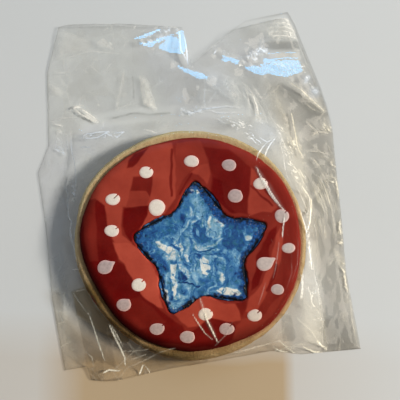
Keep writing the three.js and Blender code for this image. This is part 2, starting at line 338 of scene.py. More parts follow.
class Recipe:
    """The shader of a material or a world, built a node at a time."""

    def __init__(self, name, kind="materials"):
        """Starts an empty shader for a new material or world."""
        self.owner = getattr(bpy.data, kind).new(name)
        self.owner.use_nodes = True
        self.tree = self.owner.node_tree
        self.tree.nodes.clear()

    def node(self, kind, inputs=None, **settings):
        """Adds a node; an input given a socket is linked to it, and any other value is set."""
        made = self.tree.nodes.new(kind)
        for setting, value in settings.items():
            setattr(made, setting, value)
        for socket, value in (inputs or {}).items():
            if isinstance(value, bpy.types.NodeSocket):
                self.tree.links.new(value, made.inputs[socket])
            else:
                made.inputs[socket].default_value = value
        return made

    def place(self):
        """Object coordinates, in metres."""
        return self.node("ShaderNodeTexCoord").outputs["Object"]

    def mark(self, name):
        """A number stored on the piece's points."""
        return self.node("ShaderNodeAttribute", attribute_name=name).outputs["Fac"]

    def noise(self, size_mm, detail=3.0, roughness=0.5, distortion=0.0, vector=None):
        """Noise from 0 to 1 whose lumps are about the given size."""
        made = self.node(
            "ShaderNodeTexNoise",
            {
                "Vector": vector or self.place(),
                "Scale": 1 / (size_mm * MM),
                "Detail": detail,
                "Roughness": roughness,
                "Distortion": distortion,
            },
        )
        return made.outputs["Fac"]

    def ramp(self, factor, stops):
        """Colour along a ramp of (place, colour) stops."""
        made = self.node("ShaderNodeValToRGB", {"Fac": factor})
        elements = made.color_ramp.elements
        while len(elements) < len(stops):
            elements.new(0.5)
        for element, (at, colour) in zip(elements, stops):
            element.position = at
            element.color = (*colour, 1)
        return made.outputs["Color"]

    def mix(self, factor, first, second, blend="MIX"):
        """Two colours mixed by a factor."""
        made = self.node("ShaderNodeMix", data_type="RGBA", blend_type=blend)
        for socket, value in ((0, factor), (6, first), (7, second)):
            if isinstance(value, bpy.types.NodeSocket):
                self.tree.links.new(value, made.inputs[socket])
            elif socket == 0:
                made.inputs[socket].default_value = value
            else:
                made.inputs[socket].default_value = (*value, 1)
        return made.outputs[2]

    def maths(self, operation, first, second=0.0, third=0.0):
        """One sum, product or comparison of numbers."""
        made = self.node("ShaderNodeMath", {0: first, 1: second, 2: third}, operation=operation)
        return made.outputs[0]

    def product(self, *values):
        """Numbers multiplied together."""
        return reduce(lambda first, second: self.maths("MULTIPLY", first, second), values)

    def largest(self, *values):
        """The largest of some numbers."""
        return reduce(lambda first, second: self.maths("MAXIMUM", first, second), values)

    def spread(self, value, low, high, to_low=0.0, to_high=1.0):
        """A value's range from low to high, stretched to another range and clamped."""
        return self.node(
            "ShaderNodeMapRange",
            {"Value": value, "From Min": low, "From Max": high, "To Min": to_low, "To Max": to_high},
        ).outputs["Result"]

    def stretched(self, turn, stretch):
        """Object coordinates turned about the upright by an angle, then squeezed along Y."""
        place = {"Vector": self.place(), "Rotation": (0, 0, turn), "Scale": (1, 1 / stretch, 3)}
        return self.node("ShaderNodeMapping", place, vector_type="TEXTURE").outputs[0]

    def facets(self, size_mm, turn, stretch):
        """Straight-edged cells of about a size, turned and squeezed: a random number for each, and the
        distance to the cell's edge in cells."""
        inputs = {"Vector": self.stretched(turn, stretch), "Scale": 1 / (size_mm * MM)}
        cells = self.node("ShaderNodeTexVoronoi", inputs).outputs["Color"]
        edges = self.node("ShaderNodeTexVoronoi", inputs, feature="DISTANCE_TO_EDGE").outputs["Distance"]
        return self.node("ShaderNodeSeparateColor", {0: cells}).outputs[0], edges

    def bump(self, height, depth_mm, strength=1.0, below=None):
        """Relief of the given depth, laid over another where one is given."""
        inputs = {"Height": height, "Distance": depth_mm * MM, "Strength": strength}
        if below:
            inputs["Normal"] = below
        return self.node("ShaderNodeBump", inputs).outputs["Normal"]

    def finish(self, shader):
        """Joins a shader to the material's surface."""
        self.node("ShaderNodeOutputMaterial", {"Surface": shader})
        return self.owner

    def food(self, colour, roughness, normal, gloss):
        """Closes the recipe with one glossy or dry food surface."""
        inputs = {"Base Color": colour, "Roughness": roughness, "Normal": normal, "Specular IOR Level": gloss}
        return self.finish(self.node("ShaderNodeBsdfPrincipled", inputs).outputs["BSDF"])


def baked_dough():
    """Pale buttery crumb with a browner side, partly painted shade round the lower left and partly painted
    light round the top, fine pits, a few toasted freckles and a smear of red.
    """
    r = Recipe("baked_dough")
    height = r.node("ShaderNodeSeparateXYZ", {0: r.place()}).outputs["Z"]
    browned = r.spread(height, (DOUGH_FLOOR + 2) * MM, (DOUGH_TOP - 0.3) * MM, 1, 0)
    mottled = r.noise(2.2, 5, 0.65)
    crumb = r.noise(0.45, 4, 0.7)
    pale = r.ramp(mottled, [(0.3, (0.47, 0.3, 0.14)), (0.55, (0.6, 0.42, 0.215)), (0.8, (0.69, 0.52, 0.31))])
    brown = r.ramp(mottled, [(0.3, (0.22, 0.11, 0.04)), (0.7, (0.4, 0.225, 0.085))])
    browned = r.product(browned, r.spread(r.mark("fair"), 0, 1, 0.9, 0.2))
    toasted = r.mix(browned, pale, brown)
    # Painted light over some paler crumb: the rim paler cream round its top and left.
    toasted = r.mix(r.spread(r.mark("fair"), 0, 1, 0, 0.7), toasted, (0.66, 0.6, 0.35))
    # Painted shade over some real browning: the rim darker brown round its lower left.
    toasted = r.mix(r.mark("baked_and_shaded"), toasted, (0.14, 0.083, 0.02))
    toasted = r.mix(r.mark("stained"), toasted, (0.36, 0.16, 0.085))
    pits = r.spread(crumb, 0.28, 0.46, 0.55, 1)
    colour = r.mix(1.0, toasted, r.ramp(pits, [(0, (0.5, 0.5, 0.5)), (1, (1, 1, 1))]), "MULTIPLY")
    colour = r.mix(r.mark("smear"), colour, (0.2, 0.02, 0.01))
    relief = r.bump(r.noise(0.9, 4, 0.6), 0.5, 0.7, r.bump(crumb, 0.18, 0.8))
    return r.food(colour, 0.86, relief, 0.15)


def flooded_red():
    """Deep red set icing: painted dark and painted lighter by the mark, as light and shade through the film,
    with painted shade on the edge turned away from the light, faint streaks and clouds of colour, a soft
    gloss and a very fine skin."""
    r = Recipe("flooded_red_icing")
    clouds = r.noise(9, 3, 0.5)
    fine = r.noise(0.8, 3, 0.55)
    # Painted light and shade: a shaded and a lit copy of the same red, mixed by the painted-light mark.
    shaded_red = r.ramp(clouds, [(0.3, (0.088, 0.001, 0.0008)), (0.7, (0.14, 0.003, 0.002))])
    lit_patch = r.ramp(clouds, [(0.3, (0.37, 0.052, 0.03)), (0.7, (0.48, 0.078, 0.045))])
    colour = r.mix(r.mark("lit_patch"), shaded_red, lit_patch)
    colour = r.mix(r.spread(fine, 0.35, 0.7, 0, 0.1), colour, (0.3, 0.01, 0.005))
    colour = r.mix(r.mark("shaded"), colour, (0.02, 0.0005, 0.0005))
    relief = r.bump(r.noise(3.5, 2, 0.5), 0.12, 0.5, r.bump(fine, 0.02, 0.6))
    rough = r.spread(r.noise(4, 3), 0.3, 0.7, 0.36, 0.5)
    return r.food(colour, rough, relief, 0.05)


def white_dot_icing():
    """Off-white set icing: painted greyer as shade and whiter as light, like the icing round it, mottled,
    pink where red has bled into its edge and dark in the slit."""
    r = Recipe("white_dot_icing")
    mottle = r.noise(0.9, 3, 0.6)
    # Painted light and shade: a shaded grey and a lit white copy of the same icing.
    grey = r.ramp(mottle, [(0.3, (0.35, 0.265, 0.25)), (0.65, (0.455, 0.35, 0.33))])
    white = r.ramp(mottle, [(0.25, (0.68, 0.6, 0.52)), (0.6, (0.78, 0.7, 0.6))])
    colour = r.mix(r.spread(r.mark("lit_patch"), 0.18, 0.52), grey, white)
    colour = r.mix(r.spread(r.mark("edge"), 0.7, 0.98, 0, 0.6), colour, (0.74, 0.37, 0.32))
    colour = r.mix(r.mark("slit"), colour, (0.2, 0.1, 0.09))
    relief = r.bump(r.noise(0.7, 3), 0.05, 0.5)
    return r.food(colour, 0.48, relief, 0.3)


def marbled_star():
    """Blue and white icing dragged together: the marks hold how dark the marbling is, where the border
    runs and how black it is, with a few pale and gold grains caught in it."""
    r = Recipe("marbled_star_icing")
    fibres = r.noise(0.5, 5, 0.7, 1.2)
    tone = r.maths("ADD", r.mark("tone"), r.spread(fibres, 0.25, 0.75, -0.1, 0.1))
    blues = r.ramp(
        tone,
        [
            (0.0, (0.77, 0.74, 0.66)),
            (0.11, (0.6, 0.66, 0.66)),
            (0.24, (0.22, 0.42, 0.57)),
            (0.42, (0.07, 0.215, 0.405)),
            (0.6, (0.02, 0.11, 0.295)),
            (0.8, (0.008, 0.035, 0.15)),
            (1.0, (0.003, 0.007, 0.03)),
        ],
    )
    green = r.spread(r.noise(1.6, 3, 0.6), 0.5, 0.68, 0, 0.6)
    blues = r.mix(green, blues, (0.025, 0.14, 0.2))
    navy = r.ramp(r.noise(0.7, 3), [(0.35, (0.005, 0.022, 0.085)), (0.65, (0.01, 0.08, 0.28))])
    ink = r.mix(r.mark("black"), navy, (0.0025, 0.004, 0.009))
    grain = r.noise(0.55, 2, 0.5)
    ink = r.mix(r.spread(grain, 0.66, 0.72, 0, 0.75), ink, (0.42, 0.33, 0.22))
    colour = r.mix(r.mark("border"), blues, ink)
    specks = r.spread(r.noise(0.8, 2, 0.5), 0.68, 0.73, 0, 0.7)
    colour = r.mix(specks, colour, (0.015, 0.035, 0.05))
    relief = r.bump(r.noise(0.5, 4, 0.6), 0.09, 0.8, r.bump(r.noise(2.2, 3), 0.25, 0.6))
    rough = r.spread(r.noise(2, 3), 0.3, 0.7, 0.4, 0.6)
    return r.food(colour, rough, relief, 0.2)


# ---------------------------------------------------------------- cookie

# Painted light and shade on the red icing: lighter in patches where more light comes through the film,
# and darker between: how light, and each patch's corners, later patches over earlier ones.
PAINTED_LIGHT_EVERYWHERE = 0.26
PAINTED_LIGHT_PATCHES = [
    (0.05, [(-37.5, 10.5), (-32.5, 15), (-29.5, 14), (-28, 5), (-24.5, -6.5), (-22.5, -8), (-19, -13),
            (-16.5, -17.5), (-11, -22), (-7.5, -25.5), (-2.5, -28.5), (0, -35.5), (-13.5, -34),
            (-24.5, -27.5), (-33.5, -15), (-38.5, -1)]),
    (0.2, [(-35.5, 15), (-33, 15), (-32, 1), (-31.5, -6.5), (-34.5, -6.5), (-36.5, 1), (-37, 9.5)]),
    (0.14, [(-24, -21), (-17, -18.5), (-11, -24), (-8, -27.5), (-17, -30), (-22.5, -26)]),
    (0.72, [(-36, 15.5), (-32.5, 20.5), (-28.5, 25.5), (-21.5, 30.5), (-14, 34.5), (-6.5, 35.5),
            (-5, 29), (-4.5, 22), (-5, 15.5), (-8.5, 10.5), (-12, 7.5), (-17, 5), (-14, 12.5),
            (-23.5, 12.5), (-24, 6), (-23.5, 2.5), (-20, 0), (-26, 0), (-28.5, 6), (-29.5, 13),
            (-33, 15.5)]),
    (0.95, [(-26.5, 0), (-20.5, 0), (-15.5, -4.5), (-12, -9), (-10.5, -13.5), (-10.5, -19), (-9, -22.5),
            (-11, -22), (-16.5, -18), (-19.5, -13), (-22.5, -7.5), (-24.5, -5.5)]),
    (0.0, [(-23, 12), (-14.5, 13), (-15, 9.5), (-16.5, 6), (-18.5, 3), (-20.5, 0.5), (-22.5, 3),
           (-23.5, 6)]),
    (0.1, [(-21.5, 29), (-19.5, 31.5), (-14.5, 34), (-16.5, 31), (-18.5, 28), (-20, 26.5), (-22, 26.5)]),
    (0.14, [(-20, 23), (-18, 23.5), (-13, 23.5), (-13, 20), (-14, 16), (-15.5, 18), (-21, 18)]),
    (0.5, [(-21, 18), (-15.5, 18), (-14, 15.5), (-15, 13), (-22.5, 12.5), (-21.5, 15.5)]),
    (0.42, [(-5, 35.5), (3.5, 36.5), (5, 33), (6.5, 28), (3.5, 27.5), (0, 25), (-3, 21.5), (-5, 16.5)]),
    (0.08, [(4.5, 34), (13.5, 33), (17.5, 30), (21.5, 26.5), (21.5, 21.5), (20.5, 15), (20, 10),
            (14.5, 10.5), (7, 17), (7.5, 24), (6.5, 29)]),
    (0.0, [(8, 23), (11, 21.5), (12.5, 13.5), (16, 10.5), (14, 10.5), (7.5, 17)]),
    (0.62, [(0, 24.5), (3.5, 27.5), (6.5, 28), (7, 24.5), (6, 20.5), (3, 24)]),
    (0.66, [(21.5, 26.5), (23, 25.5), (26, 18.5), (30.5, 13), (28.5, 10.5), (25, 11), (21, 9.5),
            (20, 10.5)]),
    (0.2, [(24, 26.5), (26.5, 27.5), (31.5, 22), (36, 13), (37.5, 3.5), (38, -6.5), (35.5, -16.5),
           (31, -21.5), (32, -6.5), (32, 6), (32.5, 12), (28, 18.5)]),
    (0.02, [(30, 6), (27.5, 3.5), (25, -1), (23, -4.5), (22.5, -9.5), (21, -13.5), (21, -16.5),
            (23.5, -14.5), (25, -11), (27, -6.5), (27.5, -1), (30, 2.5)]),
    (0.36, [(19.5, -5.5), (25, 0.5), (23, -4.5), (22.5, -9.5), (21, -13.5), (19.5, -11)]),
    (0.7, [(31.5, 6), (30, 2.5), (27.5, -6.5), (25, -14), (20.5, -19), (19, -23.5), (21.5, -26),
           (25, -20), (29, -13), (31.5, -6), (32, 1.5)]),
    (0.8, [(-1, -21), (4, -18), (8, -19), (12, -21), (16, -21), (17, -23.5), (17.5, -26.5),
           (14.5, -27.5), (7.5, -26), (3.5, -28.5), (-0.5, -29), (-3.5, -26.5), (-6, -24)]),
    (0.12, [(15.5, -21), (19.5, -20), (19, -23), (18, -25.5), (17, -23.5)]),
    (0.04, [(3.5, -28.5), (7.5, -26), (14.5, -27.5), (16, -29), (14.5, -33.5), (12, -35.5), (0, -36),
            (-1, -31.5)]),
    (0.46, [(16, -28.5), (18, -26), (24.5, -26.5), (29, -20), (33, -17), (29.5, -23.5), (24.5, -28.5),
            (19, -32.5), (15, -33.5)]),
]

# Thin lines over the patches: how light, how wide in mm, and the line.
PAINTED_LIGHT_LINES = [
    (0.15, 0.7, [(-6.3, 33), (-6.6, 24), (-6.4, 16.5)]),
    (0.1, 0.5, [(0.6, 24.3), (-2, 20.5), (-3.6, 17)]),
    (0.2, 0.6, [(21.4, 20), (25, 16.5), (28.5, 13)]),
    (0.1, 0.9, [(29.9, -8), (28.6, -12.5), (26.6, -16.5)]),
]


def painted_icing_light(plan):
    """How much painted light the icing has at each place: the patches laid over each other in turn, then the
    thin lines, all with edges made wavy by noise."""
    bent = plan + 0.5 * wander(plan, 2.5, 51)
    lit_patch = np.full(plan.shape[:-1], PAINTED_LIGHT_EVERYWHERE)
    for level, corners in PAINTED_LIGHT_PATCHES:
        lit_patch += cover(bent, corners, 0.35) * (level - lit_patch)
    for level, width, line in PAINTED_LIGHT_LINES:
        lit_patch += smoothstep(width, 0.3 * width, distance_to_line(bent, line)) * (level - lit_patch)
    return np.clip(lit_patch + 0.07 * layered_noise(plan, 6, 53), 0, 1)


# How brown the rim is at each heading, partly browning and partly painted shade round its lower left;
# how fair it is, partly paler crumb and partly painted light round its top and left; and where a smear
# of red icing has run over it.
BROWNED_AND_SHADED_EDGE = [
    (0, 0.45), (15, 0.35), (30, 0.45), (60, 0.3), (105, 0.12), (150, 0.15), (180, 0.05), (190, 0.4),
    (200, 1), (225, 1.1), (255, 1.1), (270, 1.05), (285, 0.85), (300, 0.6), (320, 0.4), (345, 0.6),
]
FAIR_EDGE = [(0, 0.2), (45, 0.5), (75, 0.7), (90, 1), (150, 0.9), (180, 0.6), (200, 0.1), (330, 0)]
SMEAR = np.array([-33, -19.5, 5])


def dough_piece():
    """Baked disc: rings run out under it, up a squared-off half oval side and in over the top, with
    crumbly relief of layered noise pushed along the outward direction."""
    angle, out = circle(DOUGH_STEPS)
    radius = reach_at(DOUGH_REACH, angle)
    side = np.linspace(-math.pi / 2, math.pi / 2, DOUGH_SIDE_RINGS)
    rise = np.sign(np.sin(side)) * np.abs(np.sin(side)) ** 0.8
    inset = DOUGH_EDGE_ROUND * (1 - np.abs(np.cos(side)) ** 0.75)
    inwards = DOUGH_RADIUS * np.linspace(0.97, 0.04, DOUGH_FLAT_RINGS) ** 1.5
    shrink = np.concatenate([DOUGH_RADIUS - inwards[::-1], inset, DOUGH_RADIUS - inwards])
    flat = np.ones(DOUGH_FLAT_RINGS)
    level = np.concatenate([-flat, rise, flat])
    middle = (DOUGH_FLOOR + DOUGH_TOP) / 2
    half = (DOUGH_TOP - DOUGH_FLOOR) / 2
    reach = np.maximum(radius[None, :] - shrink[:, None], 0.3)
    z = np.broadcast_to((middle + half * level)[:, None], reach.shape)
    rings = raised(reach[..., None] * out, z)
    crumbs = 0.28 * layered_noise(rings, 5, 11) + 0.16 * layered_noise(rings, 1.1, 23)
    edge_only = smoothstep(DOUGH_RADIUS - 6, DOUGH_RADIUS - 1.5, reach)
    rings[..., :2] += (crumbs * edge_only)[..., None] * out
    rings[..., 2] += (0.25 * layered_noise(rings, 7, 31) - 0.12) * np.maximum(level, 0)[:, None] * edge_only
    heading = np.degrees(angle)
    # Painted shade and light round the rim by heading, over real browning and paler crumb.
    baked_and_shaded = 0.75 * np.interp(heading, *zip(*BROWNED_AND_SHADED_EDGE), period=360) * smoothstep(-0.2, 0.9, level)[:, None]
    smear = smoothstep(2.6, 1.2, np.linalg.norm(rings - SMEAR, axis=-1) + layered_noise(rings, 1.2, 33))
    fair = np.interp(heading, *zip(*FAIR_EDGE), period=360) * smoothstep(radius - 2.2, radius - 0.7, reach)
    by_icing = smoothstep(1.3, 0, reach - reach_at(ICING_REACH, angle)) * smoothstep(0.5, 0.9, level)[:, None]
    red_side = 0.4 + 0.6 * np.maximum(np.cos(angle - math.radians(10)), 0)
    marks = {
        "baked_and_shaded": baked_and_shaded * (0.7 + 0.6 * noise(rings, 4, 34)),
        "smear": 0.85 * smear,
        "fair": fair * smoothstep(-1.2, 0, level)[:, None],
        "stained": red_side * by_icing,
    }
    return ringed_solid("baked_cookie", rings, baked_dough(), ["cookie_base"], marks)


def rounded_drop(distance, radius):
    """How far a surface has fallen at a distance in from its edge, along a quarter circle."""
    part = np.clip(1 - distance / radius, 0, 1)
    return radius * (1 - np.sqrt(np.maximum(1 - part**2, 0)))


def red_icing_piece():
    """Flooded ring: sections from the star's outline to the wavy outer edge, rounded down at both."""
    angle, out = circle(ICING_STEPS)
    inner = STAR_MIDDLE + (star_reach(angle) + 0.06)[:, None] * out
    rim = out * DOUGH_RADIUS
    frayed = 0.18 * layered_noise(rim, 6, 15) + 0.07 * layered_noise(rim, 1.4, 16)
    outer = (reach_at(ICING_REACH, angle) + frayed)[:, None] * out
    even = np.linspace(0, 1, ICING_ACROSS)
    share = 0.6 * (0.5 - 0.5 * np.cos(np.pi * even)) + 0.4 * even
    top = inner + (1 - share)[:, None, None] * (outer - inner)
    width = np.linalg.norm(outer - inner, axis=-1)
    from_star = (1 - share)[:, None] * width
    from_edge = share[:, None] * width
    thickness = ICING_TOP - DOUGH_TOP
    drop = rounded_drop(from_edge, ICING_EDGE_ROUND) * (thickness - ICING_FOOT) / ICING_EDGE_ROUND
    drop += np.minimum(rounded_drop(from_star, 0.9), 0.7)
    flat = smoothstep(0, 3, np.minimum(from_edge, from_star))
    relief = 0.1 * layered_noise(top, 15, 3) + 0.04 * layered_noise(top, 4, 9)
    z = ICING_TOP - drop + flat * relief
    feet = raised(np.stack([inner, outer]), np.full((2, ICING_STEPS), ICING_BED))
    section = np.concatenate([feet, raised(top, z)])
    quads = grid_quads(len(section), ICING_STEPS, wrap_rows=True, wrap_columns=True)
    points = section.reshape(-1, 3)
    # Painted shade on the edge turned away from the light, and the icing's painted light in patches.
    turned_away = np.maximum(np.cos(angle - math.radians(ICING_SHADED_HEADING)), 0) ** 0.6
    shaded = 0.95 * smoothstep(4.5, 0.3, from_edge) * turned_away
    marks = {"lit_patch": painted_icing_light(points[:, :2]), "shaded": above_feet(shaded, 0)}
    return mesh_piece("flooded_red", points, quads, NO_TRIS, flooded_red(), ["red_icing"], marks)


# The star's marbling: wide washes by how dark (0 cream, 1 navy), how wide in mm, and the line that each
# was dragged along.
STAR_WASHES = [
    (0.56, 7.4, [(0.7, 14.2), (3.9, 13.2), (6.4, 10.9)]),
    (0.3, 5, [(0.5, -3), (5.5, -7), (3, -12), (-4, -12)]),
    (0.3, 4, [(-9, -1), (-6, -4.5), (-7.5, -12)]),
    (0.27, 3.5, [(1.3, 15.8), (3.5, 10.9), (1.3, 8.4)]),
    (0.52, 2.9, [(-6.3, 8.4), (-3.7, 10.9), (-2.5, 15.4)]),
    (0.68, 3.8, [(-16.6, 2), (-11.9, 3.2), (-6.2, 5.5)]),
    (0.68, 3.4, [(-16, -0.9), (-12.8, -4.7), (-8.7, -8.5)]),
    (0.66, 7.7, [(14.6, 1.3), (17.4, 5.8), (19.6, 4.5)]),
    (0.84, 2.6, [(13, 5.8), (12.7, -0.6)]),
    (0.86, 2.2, [(15.2, 4.5), (15.5, 1.3), (13.6, -1.2)]),
    (0.56, 3.9, [(12.9, -6.9), (16.4, -10.7), (17.3, -13.8)]),
]

# Flat patches laid on after the washes and before the strokes: how dark, and the corners.
STAR_PATCHES = [
    (0.72, [(12.1, 8.3), (14.7, 6.6), (17.9, 8.3), (19.5, 7.1), (18.4, 3), (18.9, -0.7), (17.3, -3.4),
            (15.2, -1.3), (12.6, -2.4), (11.7, 1.4), (12, 5.1)]),
    (0.02, [(-12, 0.1), (-10.1, 0.5), (-8.3, -1), (-5.7, -1.2), (-4.4, -2.8), (-4.6, -4.5), (-6.5, -4.9),
            (-8, -3.4), (-9.6, -2.4), (-11.2, -1.3)]),
    (0.1, [(-3.9, -0.3), (-3, 0.1), (-2.3, -2.3), (-2.6, -5.4), (-3.3, -3.9)]),
    (0.16, [(-1.8, -3.3), (-0.7, -4.4), (-0.3, -7.5), (-1.1, -7)]),
    (0.03, [(2.9, -5.3), (4.6, -5), (6.2, -6), (7, -8), (6.7, -10.2), (5.5, -11.8), (4.5, -10.5),
            (3.9, -8.4)]),
    (0.04, [(-6.5, -7.5), (-4.5, -7.3), (-4.7, -10.2), (-4.8, -12.2), (-4.3, -14.8), (-4.5, -18),
            (-5.5, -19.6), (-6.1, -16.9), (-6.5, -12.8)]),
    (0.15, [(-4.1, -7), (-2, -7.6), (-0.4, -9.1), (0.1, -11.3), (-0.7, -13), (-1.7, -10.8),
            (-3.5, -9.6)]),
    (0.0, [(9, -16.6), (10.9, -15.6), (13.5, -15.4), (16.2, -16.2), (17.6, -17.4), (16.9, -18.4),
           (14.5, -18.1), (12, -18), (10.1, -17.6)]),
    (0.04, [(-1.3, 18.6), (0.5, 19.4), (1.5, 18.4), (0.4, 17), (-1, 17.3)]),
    (0.08, [(1.7, 19.3), (3.2, 19.1), (3.9, 17.7), (2.2, 17.3)]),
    (0.1, [(20.4, 7.4), (22, 8.1), (23.2, 7.2), (22.6, 5.9), (21, 6.1)]),
    (0.2, [(18.8, 2.4), (20.4, 3), (22.1, 2.2), (21, 0.8), (19.4, 0.8)]),
    (0.2, [(-4.3, -17.4), (-2, -17.7), (-1.7, -19.4), (-3.5, -20)]),
    (0.1, [(10.2, -11.3), (11.5, -10.9), (12.1, -12.8), (11, -13.6), (9.9, -12.9)]),
    (0.16, [(0.8, -0.3), (3.2, -1.7), (6.3, -2.3), (8.9, -1.7), (10.6, -2.3), (8, -3.4), (4.7, -3.1),
            (2, -2.6)]),
    (0.06, [(-8.8, -15.9), (-7.6, -16.3), (-7.1, -19.5), (-6.2, -21.7), (-7.2, -22.3), (-8.3, -19.5)]),
    (0.3, [(5.2, 7.5), (7.5, 7.8), (10.5, 6.6), (11.5, 4), (10.6, 1.6), (8.4, 0.6), (6.4, 2),
           (5.6, 4.4)]),
    (0.7, [(1.6, 6.7), (3.2, 8.1), (4.8, 6.7), (5.1, 4), (6.1, 1.9), (8, 1.3), (6.9, 0.2), (4.7, -0.4),
           (2.6, 0), (1.3, 1.7), (0.9, 4)]),
    (0.3, [(2.4, 5), (3.2, 4), (3.3, 2.1), (2.4, 2.1), (2, 3.5)]),
    (0.82, [(-3.8, -10.2), (-2.4, -10.4), (-1.1, -11.3), (-0.7, -12.9), (-2, -13.6), (-3.3, -13.4),
            (-3.9, -12.2)]),
    (0.7, [(2.1, -4.7), (3.8, -4.7), (3.5, -6.1), (2.4, -5.5)]),
]

# Strokes, in the same way as the washes.
STAR_STROKES = [
    (0.12, 0.8, [(-0.2, 12.1), (0.3, 10)]),
    (0.18, 0.7, [(0.4, 8.4), (-1.6, 4.6), (-4.3, 1.3)]),
    (0.06, 1.4, [(-7.1, -5.2), (-4.9, -5.2)]),
    (0.08, 0.8, [(-5.4, 0.1), (-3.7, -1.5)]),
    (0.16, 1.1, [(-0.7, 3.2), (-1.2, 0.1), (-1.2, -3.4), (-0.5, -6)]),
    (0.1, 0.8, [(-4.1, -3.8), (-2.7, -5.8)]),
    (0.2, 0.6, [(-7.4, -9.8), (-7.7, -14.8)]),
    (0.2, 0.8, [(-5.2, -19.5), (-3.5, -18.5), (-1.6, -18.7)]),
    (0.2, 1.9, [(-6.4, -21.3), (-5.6, -23.5)]),
    (0.1, 0.6, [(1.7, -6), (2.1, -10.1)]),
    (0.12, 0.5, [(0.4, -6.9), (0.7, -10.1)]),
    (0.24, 0.8, [(7.8, -5), (9.8, -4.4), (11.7, -6), (12, -8.5)]),
    (0.15, 1.2, [(10.4, -10.7), (11.5, -12.1), (10.9, -13.5)]),
    (0.15, 1.2, [(-14.4, -3.1), (-12.8, -3.1)]),
    (0.2, 0.5, [(3.6, 8.7), (1.6, 7.3), (0.4, 5.1), (0.1, 2.5), (1, 0.1), (2.8, -1.6), (5.3, -2.2)]),
    (0.16, 0.7, [(2.8, -1.2), (5.3, -1.8), (7.9, -1.4), (10, -0.2), (11.2, 1.6)]),
    (0.2, 0.4, [(5.4, 8.3), (6.2, 7.2), (6.6, 5.9), (7.3, 7.2)]),
    (0.05, 1.1, [(7.2, 8.4), (7.2, 6.4)]),
    (0.17, 0.45, [(5.8, 3.8), (6.3, 5.5), (8.4, 6.2), (10.4, 5), (10.9, 3.1), (9.5, 1.7), (7.5, 2),
                  (6, 3)]),
    (0.22, 0.4, [(7.7, 3.4), (8.2, 4.4), (9.3, 4.4), (9.8, 3.4), (8.9, 2.9)]),
    (0.6, 0.5, [(1.5, -2.3), (1.5, -5.4), (2.4, -9.9)]),
    (0.62, 0.5, [(0, 0.9), (0.3, -2.3), (0, -5.4), (0.6, -8.6)]),
    (0.66, 0.45, [(7.9, -3.3), (9.9, -3.9), (12.1, -5.4)]),
    (0.66, 0.6, [(8.6, -7), (9.5, -9.7)]),
    (0.7, 0.5, [(-6.5, -0.6), (-4.5, -2.4)]),
    (0.85, 0.4, [(-3.9, -13.9), (-1.5, -13.9), (1.1, -14.6), (3.3, -15.2)]),
    (0.1, 0.45, [(4.5, 6.4), (5, 8.4)]),
    (0.08, 1, [(8.9, 7.7), (10.5, 7.1), (11.4, 5.8)]),
    (0.85, 0.45, [(0.9, -1.9), (2.6, -3.1), (4.8, -3.4), (7, -2.9), (9.2, -1.5)]),
    (0.78, 0.4, [(1.3, -3.8), (3.9, -4.5), (7, -4.4), (9.8, -3.3), (12, -4.5)]),
    (0.78, 1, [(2.9, -4.4), (4, -5.2)]),
    (0.66, 0.5, [(9, -5.5), (9.3, -8.7)]),
    (0.82, 1.1, [(-6.4, -0.9), (-4.3, -2.6)]),
    (0.68, 0.45, [(-3.4, -3.8), (-2.4, -6), (-0.4, -6.8)]),
    (0.7, 0.8, [(-5.9, -6.9), (-4.3, -6.6)]),
    (0.55, 0.5, [(0.7, -0.9), (1, -8.2)]),
    (0.97, 0.45, [(-4, -14.2), (-1.8, -13.8), (0.4, -14.3), (3.4, -14.9)]),
    (0.8, 1.6, [(-2.7, -15.7), (-2.1, -17.1)]),
    (0.97, 0.8, [(-9.9, -7.9), (-8.5, -8.8)]),
    (0.85, 1.7, [(-2.5, 8.7), (-2.3, 7.7)]),
    (0.92, 1.4, [(-4.2, 14.5), (-3.7, 12.9)]),
    (0.65, 0.4, [(-6.5, -12.3), (-6.1, -17.6)]),
    (0.9, 0.6, [(-5.7, -17.6), (-6, -19.5)]),
    (0.97, 1.9, [(-19.3, 1.3), (-17.9, 2.1)]),
    (0.92, 0.8, [(-15.2, 2.5), (-14.9, 2.4)]),
    (0.9, 0.8, [(-13.7, -3.1), (-13.4, -3.1)]),
    (0.7, 0.4, [(2.9, -6.9), (3.7, -8.3)]),
    (0.7, 1.6, [(3.8, -12.9), (5.4, -13.4)]),
    (0.92, 1, [(16.1, -10.7), (16.8, -10.7)]),
    (0.97, 0.9, [(21, 0.8), (21.5, 0.9)]),
    (0.8, 1.9, [(0.4, 20), (1.9, 20.3)]),
]

# Thin veins by chance: the seed of each set, and how dark it is.
STAR_VEINS = [(91, 0.1), (93, 0.85), (95, 0.18), (97, 0.75), (99, 0.9)]

# Marbling paler than this is cream, and has a halo.
CREAM = 0.11

# The black-blue border round the star: how wide it is at each heading about the star's middle.
STAR_BORDER = [
    (-135, 0.7), (-116, 1.1), (-89, 0.45), (-65, 0.8), (-48, 1.7), (-32, 2), (-13, 1.6), (10, 1.4),
    (23, 2.3), (40, 1.6), (55, 2.6), (75, 3.1), (88, 2.4), (97, 1.4), (110, 0.8), (124, 0.8),
    (150, 0.5), (168, 1.4), (180, 0.7), (200, 0.6),
]


def patched_tone(tone, bent, drawn):
    """The marbling's darkness with the flat patches laid over it in turn, each with a paler halo if it is
    cream, and streaked along the marbling."""
    for number, (level, corners) in enumerate(STAR_PATCHES):
        if level < CREAM:
            tone = tone + 0.4 * cover(bent, corners, 1.1) * (0.3 - tone)
        wear_and_highlight = np.clip(0.75 + 0.45 * noise(drawn, 0.9, 120 + number), 0, 1)
        tone = tone + cover(bent, corners, 0.22) * wear_and_highlight * (level + 0.1 * layered_noise(drawn, 1.1, 82) - tone)
    return tone


